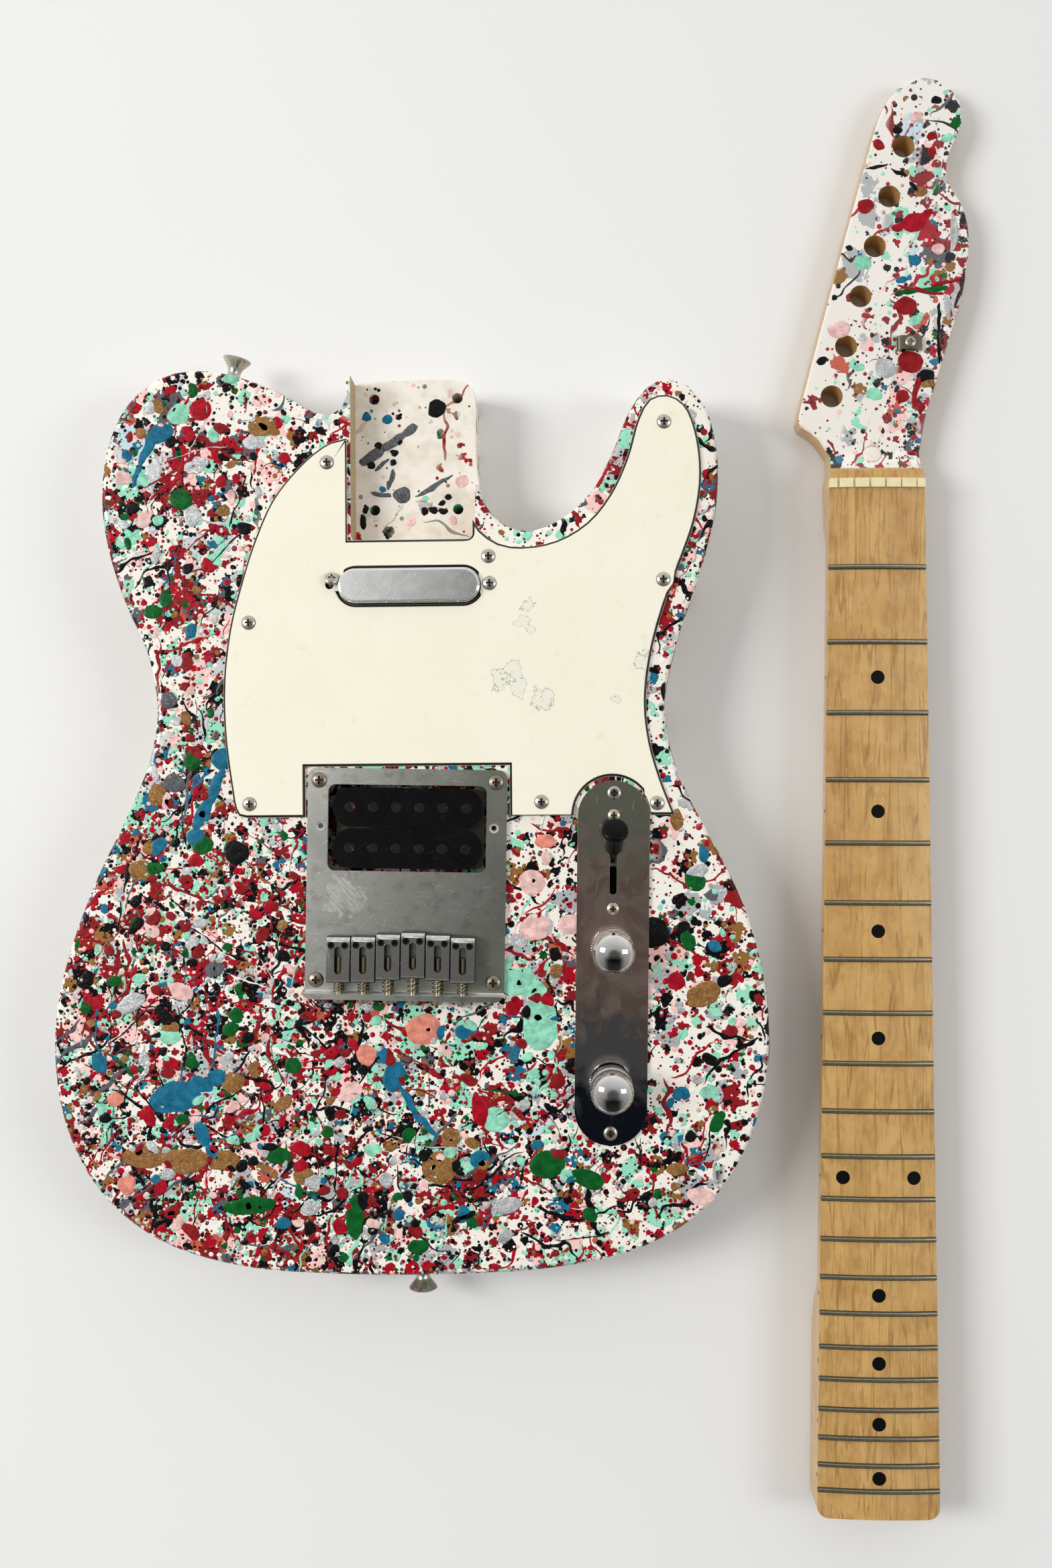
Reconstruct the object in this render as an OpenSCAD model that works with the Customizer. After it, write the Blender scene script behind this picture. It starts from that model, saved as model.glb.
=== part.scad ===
// Solid-body electric guitar, taken apart: the body carries its pickguard,
// pickups, bridge and controls, and the bolt-on neck lies beside it.
// Millimetres, +Z up, +Y towards the headstock.  The origin is on the flat back
// of the body, on its centre line, below the end wall of the neck pocket.

/* [Body] */
// Widest width of the body
body_w = 318.8; // [300:1:390]
// From the end wall of the neck pocket to the bottom of the body
tail_len = 326; // [310:1:395]
// Thickness of the body
body_thick = 44.5; // [37:0.5:54]
// Radius of the rounding along both edges of the body
edge_round = 3; // [1:0.5:4]
// Wood left under the control cavity
cavity_floor = 8; // [3:0.5:12]
// Depth of both pickup cavities
pickup_cavity_depth = 24; // [20:0.5:26]
// Radius of the drilled wiring holes
wire_hole_r = 4; // [2:0.5:5]

/* [Neck pocket] */
// Width of the pocket
pocket_w = 55.6; // [50:0.2:60]
// Depth of the pocket
pocket_depth = 16; // [12:0.5:18]
// Thickness of the thin wall on the bass side of the pocket
pocket_wall = 2.2; // [1.5:0.1:4]
// Spacing of the neck bolts across the neck
bolt_dx = 38.1; // [34:0.1:42]
// Spacing of the neck bolts along the neck
bolt_dy = 50.8; // [45:0.1:56]
// Distance of the middle of the bolts from the pocket's end wall
bolt_mid = 42.7; // [38:0.1:46]
// Radius of the bolt holes through the body
bolt_hole_r = 2.4; // [2:0.1:3]

/* [Pickguard] */
// Thickness of the pickguard
guard_thick = 2.2; // [1.5:0.1:3]
// Clearance around whatever passes through the pickguard
guard_gap = 0.4; // [0.2:0.1:1]

/* [Small screws] */
// Head radius of the oval-head screws
screw_head_r = 3.1; // [2.4:0.1:3.6]
// Depth of the countersink under a screw head
screw_sink = 1.5; // [1:0.1:1.8]
// Shank radius of the oval-head screws
screw_r = 1.4; // [1.1:0.05:1.6]
// Length of the oval-head screws below the surface they hold down
screw_len = 13; // [10:0.5:16]

/* [Neck pickup] */
// Length of the pickup cover
cover_len = 63; // [58:0.5:66]
// Width of the pickup cover
cover_w = 15.4; // [14:0.2:18]
// Height of the cover above the pickguard
cover_rise = 3.2; // [1.5:0.1:5]
// Wall of the pickup cover
cover_wall = 0.6; // [0.4:0.1:1]

/* [Bridge] */
// Width of the bridge plate
bridge_w = 88.6; // [84:0.2:94]
// Length of the bridge plate
bridge_len = 101.6; // [96:0.2:106]
// Thickness of the bridge plate
bridge_thick = 2; // [1.5:0.1:2.4]
// Height of the bent-up lip above the body
lip_height = 10; // [9:0.2:12]
// How far the bridge sits turned clockwise, in degrees
bridge_turn = 1.3; // [0:0.1:2]
// Width of a saddle
saddle_w = 10.3; // [9.6:0.1:10.5]
// Length of a saddle
saddle_len = 20.4; // [19:0.2:22]
// Height of a saddle
saddle_h = 6; // [5:0.1:6.5]
// Distance between neighbouring saddles
saddle_pitch = 10.94; // [10.7:0.02:11.2]
// Radius of an intonation screw
screw_m3_r = 1.45; // [1.2:0.05:1.6]
// Running clearance around shafts and threads
running = 0.05; // [0.02:0.01:0.1]

/* [Humbucker] */
// Length of one bobbin
bobbin_len = 67; // [62:0.5:69]
// Width of one bobbin
bobbin_w = 17.8; // [16:0.1:18]
// Distance between the two rows of poles
pole_rows = 18.2; // [18.1:0.1:19]
// Distance between neighbouring poles
pole_pitch = 10.34; // [9.6:0.02:10.6]
// Radius of a pole piece
pole_r = 2.4; // [2:0.1:2.6]

/* [Controls] */
// Length of the control plate
panel_len = 161; // [156:0.5:166]
// Width of the control plate
panel_w = 32; // [30:0.5:34]
// Thickness of the control plate
panel_thick = 1.6; // [1.2:0.1:2]
// How far the control plate sits turned clockwise, in degrees
panel_turn = 1.1; // [0:0.1:2]
// Radius of a knob
knob_r = 9.5; // [8:0.1:10.5]
// Height of a knob
knob_h = 21; // [17:0.5:24]
// Radius of a pot's shaft
shaft_r = 3; // [2.5:0.1:3.3]
// Radius of the threaded bushing of a pot
bushing_r = 4.7; // [4:0.1:5]
// Spacing of the two screws of the selector switch
switch_screw_gap = 41.3; // [39:0.1:43]
// Half of the selector lever's throw, in degrees
switch_half_throw = 29; // [16:1:30]

/* [Neck] */
// Scale length, from the nut to the saddles
scale_len = 647.7; // [620:0.1:660]
// Length of the neck from the nut to the end of the heel
heel_y = 468; // [462:0.5:475]
// Width of the fingerboard at the nut
nut_w = 43.6; // [41:0.1:45]
// Width of the fingerboard at the heel
heel_w = 55.4; // [54:0.1:57]
// Thickness of the heel
heel_thick = 25.4; // [24:0.1:27]
// Radius of the fingerboard's curve
board_radius = 240; // [180:5:400]
// Number of frets
fret_count = 21; // [19:1:21]
// Width of a fret
fret_w = 2.5; // [2:0.1:3]
// Height of a fret
fret_h = 1.1; // [0.8:0.1:1.4]
// Radius of the position dots
dot_r = 3.1; // [2.5:0.1:3.5]
// Thickness of the headstock
head_thick = 13.8; // [12:0.2:15]
// Drop from the fingerboard to the headstock's face
head_drop = 7; // [6:0.2:8]
// Radius of the tuner holes
tuner_r = 5.1; // [4:0.1:5.3]
// How far the neck lies turned clockwise from the body's centre line
neck_turn = 0.57; // [0:0.01:2]

/* [Hidden] */
$fn = 48;
big = 400;         // longer than anything it has to cut through
past = 1;          // how far a cut reaches past the surface it opens

// ---- where things are ---------------------------------------------------------

// The outline is drawn at this width and tail length, and stretched from there
drawn_w = 318.8;
drawn_tail = 326;
beside_gap = 54.3; // from the body's widest edge to the middle of the neck
core_x = 34;       // the strip around the neck pocket keeps its width
tail_start = -205; // the body is lengthened below this line
widen = (body_w / 2 - core_x) / (drawn_w / 2 - core_x);
lengthen = (tail_len + tail_start) / (drawn_tail + tail_start);
function stretch_x(x) = abs(x) <= core_x ? x : sign(x) * (core_x + (abs(x) - core_x) * widen);
function stretch_y(y) = y >= tail_start ? y : tail_start + (y - tail_start) * lengthen;
function stretched(p) = [stretch_x(p.x), stretch_y(p.y)];

pocket_x = pocket_w / 2;
pocket_floor = body_thick - pocket_depth;
open_from = 25;
guard_top = body_thick + guard_thick;

bridge_at = [-4, -152.2];
pickup_y = 24.4;                 // humbucker's centre, in front of the bridge's
lip_thick = bridge_thick + 0.4;
saddle_y = -32.8;                // middle of the row of saddles
saddle_shift = [-0.6, -0.35, 0.9, 1.8, 0.9, 0];
saddle_lift = 1.8;               // the height screws hold the saddles this far up
screw_z = bridge_thick + saddle_lift + saddle_h * 0.42;
intonation_len = 18.5;
slot_back = 3.9;                 // wall between a saddle's back and its slot
slot_len = 12;
slot_w = 3.2;
grub_x = 3;
grub_inset = 3.9;
spring_r = 2.25;
spring_wire_r = 0.4;

panel_at = [87, -187.8];
panel_screw_y = panel_len / 2 - 5.5;
switch_y = 44.5;
volume_y = 6.2;
tone_y = -53.4;
knob_gap = 0.8;                  // under the volume knob
tone_knob_lift = 3.6;            // the tone knob stands higher on its shaft
pivot_z = -8;                   // of the selector lever, below the plate
lever_thick = 1.4;
lever_w = 4.6;
cheek_x = 3.4;                   // inner face of the switch frame's cheeks
tip_foot = 13.6;                 // of the lever's tip, from the pivot
tip_h = 18;
tip_slot = 13;                   // how far the lever reaches into its tip
panel_slot_w = 3.2;
panel_slot_len = 29;

neck_pickup_at = [-1.6, -20.2];
ear_x = 35.6;                    // the neck pickup's screws, from its centre
ear_screw_len = 17;

nut_at = [stretch_x(156.3) + beside_gap, 25.8];
nut_thick = 4.2;
strip_end = 8;                   // the fingerboard ends this far behind the nut
scoop_end = 20;                  // and has dropped to the headstock's face here
head_z = heel_thick - head_drop; // face of the headstock
head_back = head_z - head_thick;
head_tip_y = 193;
heel_block = 75;                 // square part of the heel
neck_tilt = asin(head_back / (head_tip_y + heel_y - heel_block));

jack_y = -225;
button_len = 12.6;
strap_screw_len = button_len + 18;

// ---- curves ---------------------------------------------------------------------

function knot_gap(a, b) = sqrt(norm(b - a));

// Point at t, from 0 to 1, on the smooth curve from b to c, with neighbours a and d
function curve_point(a, b, c, d, t) =
    let (t1 = knot_gap(a, b), t2 = t1 + knot_gap(b, c), t3 = t2 + knot_gap(c, d),
         u = t1 + (t2 - t1) * t,
         ab = (a * (t1 - u) + b * u) / t1,
         bc = (b * (t2 - u) + c * (u - t1)) / (t2 - t1),
         cd = (c * (t3 - u) + d * (u - t2)) / (t3 - t2),
         abc = (ab * (t2 - u) + bc * u) / t2,
         bcd = (bc * (t3 - u) + cd * (u - t1)) / (t3 - t1))
    (abc * (t2 - u) + bcd * (u - t1)) / (t2 - t1);

// Closed smooth curve through the points, in pieces about as long as step
function smooth_loop(p, step) =
    let (n = len(p))
    [for (i = [0 : n - 1])
        let (a = p[(i + n - 1) % n], b = p[i], c = p[(i + 1) % n], d = p[(i + 2) % n],
             pieces = max(1, round(norm(c - b) / step)))
        for (k = [0 : pieces - 1]) curve_point(a, b, c, d, k / pieces)];

// The loop moved inwards by distance, less of it near the point named keen
function inset_loop(p, distance, keen) =
    let (n = len(p))
    [for (i = [0 : n - 1])
        let (along = p[(i + 1) % n] - p[(i + n - 1) % n],
             share = 0.25 + 0.75 * ease((norm(p[i] - keen) - 36) / 24))
        p[i] - [along.y, -along.x] / norm(along) * distance * share];

function arc(centre, r, from, to, pieces) =
    [for (i = [0 : pieces])
        let (a = from + (to - from) * i / pieces)
        centre + r * [cos(a), sin(a)]];

// ---- shapes ---------------------------------------------------------------------

// Twice the area of a triangle, above 0 when its corners run anticlockwise
function turn(a, b, c) = (b.x - a.x) * (c.y - a.y) - (b.y - a.y) * (c.x - a.x);

function within(p, a, b, c) = turn(a, b, p) >= 0 && turn(b, c, p) >= 0 && turn(c, a, p) >= 0;

// Corner k of the points still left can be cut off without crossing the outline
function is_ear(p, left, k) =
    let (n = len(left), before = left[(k + n - 1) % n], after = left[(k + 1) % n],
         a = p[before], b = p[left[k]], c = p[after])
    turn(a, b, c) > 0 && len([for (i = left)
        if (i != before && i != left[k] && i != after && within(p[i], a, b, c)) i]) == 0;

function first_ear(p, left, k = 0) = is_ear(p, left, k) ? k : first_ear(p, left, k + 1);

// Triangles that fill a flat outline, one corner cut off at a time
function ears(p, left) =
    let (n = len(left), k = n == 3 ? 0 : first_ear(p, left))
    n == 3 ? [left]
        : concat([[left[(k + n - 1) % n], left[k], left[(k + 1) % n]]],
            ears(p, [for (i = [0 : n - 1]) if (i != k) left[i]]));

// Skin over a stack of closed rings that all have the same number of points.  The
// two ends are filled by the faces named cap
module skin(rings, cap) {
    n = len(rings[0]);
    last = len(rings) - 1;
    polyhedron(
        points = [for (ring = rings) each ring],
        faces = concat(
            cap,
            [for (f = cap) [for (i = [len(f) - 1 : -1 : 0]) last * n + f[i]]],
            [for (j = [0 : last - 1]) for (i = [0 : n - 1])
                let (a = j * n + i, b = j * n + (i + 1) % n)
                each [[a, a + n, b + n], [a, b + n, b]]]));
}

// One face over a bulging ring of n points
function whole_cap(n) = [[for (i = [0 : n - 1]) i]];

// Slab with both edges rounded, from an outline that runs anticlockwise.  The
// rounding fades to a sharper edge near the point named keen
module rounded_slab(outline, thick, r, keen = [0, big], steps = 3) {
    lower = [for (j = [0 : steps]) let (a = 90 * j / steps) [r * (1 - sin(a)), r * (1 - cos(a))]];
    upper = [for (j = [steps : -1 : 0]) [lower[j].x, thick - lower[j].y]];
    skin([for (e = concat(lower, upper)) [for (p = inset_loop(outline, e.x, keen)) [p.x, p.y, e.y]]],
        ears(inset_loop(outline, r, keen), [for (i = [0 : len(outline) - 1]) i]));
}

// Flat plate with rounded corners, centred, standing on z = 0
module round_plate(w, l, h, r) {
    linear_extrude(h) union() {
        square([w - 2 * r, l], center = true);
        square([w, l - 2 * r], center = true);
        for (x = [-1, 1], y = [-1, 1]) translate([x * (w / 2 - r), y * (l / 2 - r)]) circle(r);
    }
}

// Plate with two round ends, long way along Y
module stadium(l, w, h) {
    linear_extrude(h) union() {
        square([w, l - w], center = true);
        for (y = [-1, 1]) translate([0, y * (l - w) / 2]) circle(w / 2);
    }
}

// Oval-head screw with a cross recess, pointing down, its rim at z = 0
module oval_screw(head_r, sink, r, l) {
    dome = head_r * 0.36;
    difference() {
        rotate_extrude() polygon(concat(
            [[0, -l], [r, 2 * r - l], [r, -sink], [head_r, -0.25], [head_r, 0]],
            [for (i = [1 : 6]) [head_r * cos(15 * i), dome * sin(15 * i)]]));
        for (turn = [0, 90]) rotate([0, 0, turn])
            translate([0, 0, dome]) cube([head_r * 1.05, head_r * 0.26, 2.4], center = true);
    }
}

// What is cut out of a plate and the wood below for an oval-head screw
module screw_seat(head_r, sink, r, l) {
    clear = 0.05;
    rotate_extrude() polygon([
        [0, -l - 0.5], [r + clear, -l - 0.5], [r + clear, -sink - clear],
        [head_r + clear, -0.25], [head_r + clear, past], [0, past]]);
}

module small_screw() { oval_screw(screw_head_r, screw_sink, screw_r, screw_len); }
module small_seat() { screw_seat(screw_head_r, screw_sink, screw_r, screw_len); }
module ear_screw() { oval_screw(screw_head_r, screw_sink, screw_r, ear_screw_len); }
module ear_seat() { screw_seat(screw_head_r, screw_sink, screw_r, ear_screw_len); }

module at_bridge() {
    translate([bridge_at.x, bridge_at.y, body_thick]) rotate([0, 0, -bridge_turn]) children();
}
module at_panel() {
    translate([panel_at.x, panel_at.y, body_thick]) rotate([0, 0, -panel_turn]) children();
}
// The neck's own frame: the nut's front face at y = 0, the heel's underside at z = 0
module at_neck() {
    translate([nut_at.x, nut_at.y, 0]) rotate([0, 0, -neck_turn])
        translate([0, -(heel_y - heel_block), 0]) rotate([-neck_tilt, 0, 0])
            translate([0, heel_y - heel_block, 0]) children();
}

// ---- body -----------------------------------------------------------------------

// Anticlockwise from the treble corner of the neck platform: the bass bout, the
// bass waist, the lower bouts, the treble waist, the horn and the cutaway
body_points = [
    [22, 75.5], [-25, 75.5], [-28.6, 74.6], [-30, 71.5], [-30, 65.5], [-31.8, 60.5],
    [-37, 57.2], [-44, 58.8], [-55, 65.2], [-69, 72], [-84, 76.8], [-100, 78.4],
    [-114, 75], [-128, 64], [-137, 46.5], [-140.4, 22], [-137.8, -1], [-130, -26],
    [-120, -49], [-115.8, -74], [-119.5, -97], [-130, -122], [-143, -148.5],
    [-154, -176.5], [-161, -203], [-162.8, -229], [-157.5, -261], [-142, -290],
    [-116, -311], [-80, -322.4], [-35, -326], [15, -326], [62, -322.8], [98, -314.5],
    [127, -297], [147, -267], [155.6, -233], [154.6, -197], [145.2, -161.5],
    [129.5, -129.5], [116.2, -101.5], [111.3, -76], [116.3, -49], [126.5, -18.5],
    [133.8, 7], [136, 32], [131.3, 57], [123, 68.2], [114, 71.8], [104.8, 68],
    [96.5, 57], [89.5, 40], [80, 22.5], [67, 10.3], [52, 4.3], [40, 7.6], [31.8, 17],
    [28, 33], [27.4, 48], [27.4, 66], [26.6, 72.5]];
body_outline = smooth_loop([for (p = body_points) stretched(p)], 6.5);
side_x = max([for (p = body_outline) p.x]);
tail_y = min([for (p = body_outline) p.y]);

guard_screws = [for (p = [[-38, 35.2], [33.6, -7.4], [111.8, 51.2], [-73.4, -35.8],
    [110.9, -18.6], [-73.4, -116.5], [56.3, -116.5], [107.4, -117.4]]) stretched(p)];

module body() {
    color("ivory") difference() {
        rounded_slab(body_outline, body_thick, edge_round, [0, 66]);
        neck_pocket();
        at_bridge() bridge_cavity();
        translate([neck_pickup_at.x, neck_pickup_at.y, body_thick - pickup_cavity_depth])
            rotate([0, 0, 90]) stadium(2 * ear_x + 9, cover_w + 4, big);
        at_panel() translate([0, 0, cavity_floor - body_thick])
            stadium(panel_len - 20, panel_w - 8, big);
        wiring_holes();
        at_guard_screws() small_seat();
        at_panel_screws() small_seat();
        at_bridge() at_bridge_screws() bridge_seat();
        jack_hole();
        at_strap_buttons() cylinder(r = 1.6, h = 2 * 22, center = true);
    }
}

// The pocket is open at the top of the body, and to the cutaway past a thin wall
module neck_pocket() {
    r = 3;
    x = pocket_x;
    open_x = pocket_x + 4;
    translate([0, 0, pocket_floor]) linear_extrude(big) polygon(concat(
        arc([-x + r, r], r, 180, 270, 6),
        arc([x - r, r], r, 270, 360, 6),
        [[x, open_from], [open_x, open_from], [open_x, big], [-x, big]]));
    at_neck_bolts() cylinder(r = bolt_hole_r, h = big, center = true);
}

module at_neck_bolts() {
    for (x = [-1, 1], y = [-1, 1]) translate([x * bolt_dx / 2, bolt_mid + y * bolt_dy / 2, 0]) children();
}

module bridge_cavity() {
    translate([0, pickup_y, -pickup_cavity_depth])
        round_plate(bobbin_len + 12, 2 * bobbin_w + 6, big, 6);
}

module wiring_holes() {
    wire_z = body_thick - pickup_cavity_depth + wire_hole_r + past;
    translate([-10, neck_pickup_at.y, wire_z]) rotate([90, 0, 0]) cylinder(r = wire_hole_r, h = 100);
    translate([0, bridge_at.y + pickup_y - 6, wire_z]) rotate([0, 90, 0])
        cylinder(r = wire_hole_r, h = panel_at.x);
}

module jack_hole() {
    translate([panel_at.x, jack_y, body_thick / 2]) rotate([0, 90, 0]) cylinder(r = jack_r, h = big);
    translate([jack_seat_x, jack_y, body_thick / 2]) rotate([0, 90, 0])
        cylinder(r = jack_flange_r + 0.4, h = big);
}

// ---- pickguard and neck pickup ----------------------------------------------------

// Anticlockwise from the pocket's bass corner: the bass edge down to the straight
// bottom edge, then the treble edge up round the horn and along the cutaway
guard_points = [
    [-29.4, 46.2], [-36, 44.6], [-44.5, 39.4], [-54, 30.2], [-63, 18.4], [-71, 0.5],
    [-77, -18], [-82.2, -38.5], [-85, -62], [-84.6, -86], [-81.6, -110], [-80, -119],
    [-78.4, -121.8], [-75, -122.6]];
guard_treble = [
    [115.2, -122.6], [109, -106], [104.6, -90], [102.9, -73], [104.9, -54], [110, -34],
    [118.6, -11], [125.3, 8], [128.2, 28], [126, 47.5], [121, 59], [113.5, 63.4],
    [105.4, 61.6], [100.2, 53], [95, 35.5], [87.5, 19.5], [77.5, 7.3], [64, -0.6],
    [49, -3.3], [38, -1.6], [30, 4.2], [pocket_x - 1.4, 9.6]];
guard_outline = concat(
    open_curve([for (p = guard_points) stretched(p)], 5),
    open_curve([for (p = guard_treble) stretched(p)], 5),
    [[pocket_x - 1.4, 46.2]]);

// Smooth curve from the first point to the last
function open_curve(p, step) =
    let (n = len(p), first = 2 * p[0] - p[1], past_end = 2 * p[n - 1] - p[n - 2],
         q = concat([first], p, [past_end]))
    concat([for (i = [1 : n - 1])
        let (pieces = max(1, round(norm(q[i + 1] - q[i]) / step)))
        for (k = [0 : pieces - 1]) curve_point(q[i - 1], q[i], q[i + 1], q[i + 2], k / pieces)],
        [p[n - 1]]);

module pickguard() {
    color("ivory") difference() {
        translate([0, 0, body_thick]) linear_extrude(guard_thick) polygon(guard_outline);
        translate([0, 0.6, 0]) guard_neck_notch();
        guard_bridge_notch();
        guard_panel_notch();
        translate([neck_pickup_at.x, neck_pickup_at.y, body_thick - past]) rotate([0, 0, 90])
            stadium(cover_len + 2 * guard_gap, cover_w + 2 * guard_gap, guard_thick + 2 * past);
        at_guard_screws() small_seat();
        at_ear(1) ear_seat();
        at_ear(-1) translate([0, 0, -guard_thick - past]) cylinder(r = 1.9, h = 3 * past + guard_thick);
        at_loose_screw() cylinder(r = screw_r + 0.3, h = big, center = true);
    }
}

module guard_neck_notch() {
    r = 2.5;
    left = 0.7 - pocket_x - pocket_wall;
    right = pocket_x - 1.3;
    translate([0, 0, body_thick - past]) linear_extrude(big) polygon(concat(
        [[left, 0]], arc([right - r, r], r, 270, 360, 6), [[right, 60], [left, 60]]));
}

// The notch was cut for a bridge that sits straight, so the turned plate shows wood beside it
module guard_bridge_notch() {
    front = bridge_at.y + bridge_len / 2 + 1.3;
    translate([bridge_at.x - bridge_w / 2 - 0.3, front - 60, body_thick - past])
        cube([bridge_w + 2.3, 60, big]);
}

module guard_panel_notch() {
    r = panel_w / 2 + 1;
    end_y = panel_at.y + (panel_len - panel_w) / 2 + 0.9;
    translate([panel_at.x + 0.6, end_y, body_thick - past]) {
        cylinder(r = r, h = big);
        translate([-r, -60, 0]) cube([2 * r, 60, big]);
    }
}

module at_guard_screws() {
    for (p = guard_screws) translate([p.x, p.y, guard_top]) children();
}

module at_ear(side) {
    translate([neck_pickup_at.x + side * ear_x, neck_pickup_at.y + 0.8, guard_top]) children();
}

// The bass-side pickup screw has pulled out and leans in its hole
module at_loose_screw() {
    lean = 22;
    at_ear(-1) translate([1.4, 2.5, 2.3]) rotate([-lean, lean / 2, 0]) children();
}

module cover_screws() {
    color("silver") {
        at_guard_screws() small_screw();
        at_panel_screws() small_screw();
    }
}

module neck_pickup_cover() {
    top = guard_top + cover_rise;
    depth = 16;
    inside = 2 * cover_wall;
    color("silver") translate([neck_pickup_at.x, neck_pickup_at.y, top]) rotate([0, 0, 90]) difference() {
        union() {
            translate([0, 0, -1.2]) stadium(cover_len - 1.6, cover_w - 1.6, 1.2);
            translate([0, 0, -depth]) stadium(cover_len, cover_w, depth - 0.9);
        }
        translate([0, 0, -depth - past])
            stadium(cover_len - inside - 1.2, cover_w - inside - 1.2, depth + past - cover_wall);
    }
}

module neck_pickup_bobbin() {
    // The base plate closes the cover and carries an ear for each screw
    base_z = guard_top + cover_rise - 16 - 1.6;
    coil_top = guard_top + cover_rise - cover_wall;
    inside = 2 * cover_wall;
    color("dimgray") difference() {
        translate([neck_pickup_at.x, neck_pickup_at.y, 0]) rotate([0, 0, 90]) {
            translate([0, 0, base_z]) stadium(2 * ear_x + 7, cover_w - 2, 1.6);
            translate([0, 0, base_z + 1.6])
                stadium(cover_len - inside - 2, cover_w - inside - 2, coil_top - base_z - 1.9);
        }
        for (side = [-1, 1]) at_ear(side) translate([0, 0, -30]) cylinder(r = screw_r + 0.05, h = 30);
        at_loose_screw() cylinder(r = screw_r + 0.3, h = big, center = true);
        at_neck_magnets() cylinder(r = 2.42, h = big, center = true);
    }
}

module at_neck_magnets() {
    for (i = [0 : 5]) translate([neck_pickup_at.x + (i - 2.5) * pole_pitch * 0.92, neck_pickup_at.y,
        guard_top + cover_rise - cover_wall - 14.4]) children();
}

module neck_pickup_magnets() {
    color("gray") at_neck_magnets() cylinder(r = 2.4, h = 13.9);
}

module neck_pickup_screws() {
    color("silver") {
        at_ear(1) ear_screw();
        at_loose_screw() ear_screw();
    }
}

// ---- bridge ---------------------------------------------------------------------

bridge_screw_x = bridge_w / 2 - 5;
bridge_screw_r = 1.7;

module at_bridge_screws() {
    for (p = [[-1, bridge_len / 2 - 5.5], [1, bridge_len / 2 - 5.5],
              [-1, -bridge_len / 2 + 7.5], [1, -bridge_len / 2 + 7.5]])
        translate([p.x * bridge_screw_x, p.y, bridge_thick]) children();
}
module bridge_seat() { screw_seat(3.4, 1.6, bridge_screw_r, 22); }

module bridge_plate() {
    back = -bridge_len / 2;
    front = bridge_len / 2;
    bend = lip_thick + 0.8;
    // Side view, from the front edge along the underside to the lip
    profile = concat(
        [[front, 0], [front, bridge_thick], [back + lip_thick + 0.8, bridge_thick]],
        arc([back + lip_thick + 0.8, bridge_thick + 0.8], 0.8, 270, 180, 4),
        [[back + lip_thick, lip_height]],
        [[back, lip_height]],
        arc([back + bend, bend], bend, 180, 270, 6));
    color("lightgray") at_bridge() difference() {
        intersection() {
            translate([-bridge_w / 2, 0, 0]) rotate([90, 0, 90]) linear_extrude(bridge_w) polygon(profile);
            round_plate(bridge_w, bridge_len, 2 * lip_height, 4);
        }
        translate([0, pickup_y, -past]) round_plate(bobbin_len + 3.5, 38.4, 4 * past + bridge_thick, 3.4);
        at_bridge_screws() bridge_seat();
        for (x = [-1, 1]) translate([x * 38.6, 25, bridge_thick]) screw_seat(2.1, 1.2, 1.1, 4);
        at_saddles() translate([0, back, screw_z]) rotate([-90, 0, 0])
            cylinder(r = screw_m3_r + 0.1, h = 2 * lip_thick + past, center = true);
    }
}

module bridge_screws() {
    color("silver") at_bridge() at_bridge_screws() oval_screw(3.4, 1.6, bridge_screw_r, 22);
}

function saddle_x(i) = (i - 3.5) * saddle_pitch - 1.2;

module at_saddles() { for (i = [1 : 6]) translate([saddle_x(i), 0, 0]) children(); }

// Where saddle i stands: its middle, on its underside
module at_saddle(i) {
    at_bridge() translate([saddle_x(i), saddle_y + saddle_shift[i - 1], bridge_thick + saddle_lift])
        children();
}

module saddle(i) {
    half = saddle_len / 2;
    slot_y = -half + slot_back + slot_len / 2;
    // Side view: square front with a small step, long flat top, rounded back
    profile = concat(
        [[-half, 0], [half, 0], [half, saddle_h - 2.2]],
        arc([half - 1.4, saddle_h - 2.2], 1.4, 0, 80, 4),
        [[half - 2.4, saddle_h]],
        arc([-half + 1.6, saddle_h - 1.6], 1.6, 90, 180, 5));
    color("silver") at_saddle(i) difference() {
        translate([-saddle_w / 2, 0, 0]) rotate([90, 0, 90]) linear_extrude(saddle_w) polygon(profile);
        translate([0, slot_y, -past]) stadium(slot_len, slot_w, saddle_h + 2 * past);
        translate([0, 0, -past]) stadium(saddle_len - 2 * slot_back - 2, saddle_w - 2.4, past + 0.8);
        translate([0, -half - past, screw_z - bridge_thick - saddle_lift]) rotate([-90, 0, 0])
            cylinder(r = screw_m3_r + running, h = slot_back + 2 * past);
        for (x = [-grub_x, grub_x]) translate([x, half - grub_inset, -past])
            cylinder(r = 1.5 + running, h = saddle_h + 2 * past);
    }
}

module height_screws(i) {
    color("gray") at_saddle(i) for (x = [-grub_x, grub_x])
        translate([x, saddle_len / 2 - grub_inset, running - saddle_lift]) difference() {
            cylinder(r = 1.5, h = saddle_h + saddle_lift - 0.8);
            translate([0, 0, saddle_h + saddle_lift - 2.4]) cylinder(r = 0.85, h = 4, $fn = 6);
        }
}

module intonation_screw(i) {
    back = -bridge_len / 2;
    color("silver") at_bridge() translate([saddle_x(i), back - running, screw_z]) rotate([-90, 0, 0])
        difference() {
            union() {
                cylinder(r = screw_m3_r, h = intonation_len);
                rotate_extrude() polygon([[0, -1.9], [1.6, -1.9], [2.5, -1.2], [2.7, 0], [0, 0]]);
            }
            for (turn = [0, 90]) rotate([0, 0, turn])
                translate([0, 0, -1.9]) cube([3, 0.7, 1.6], center = true);
        }
}

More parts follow.
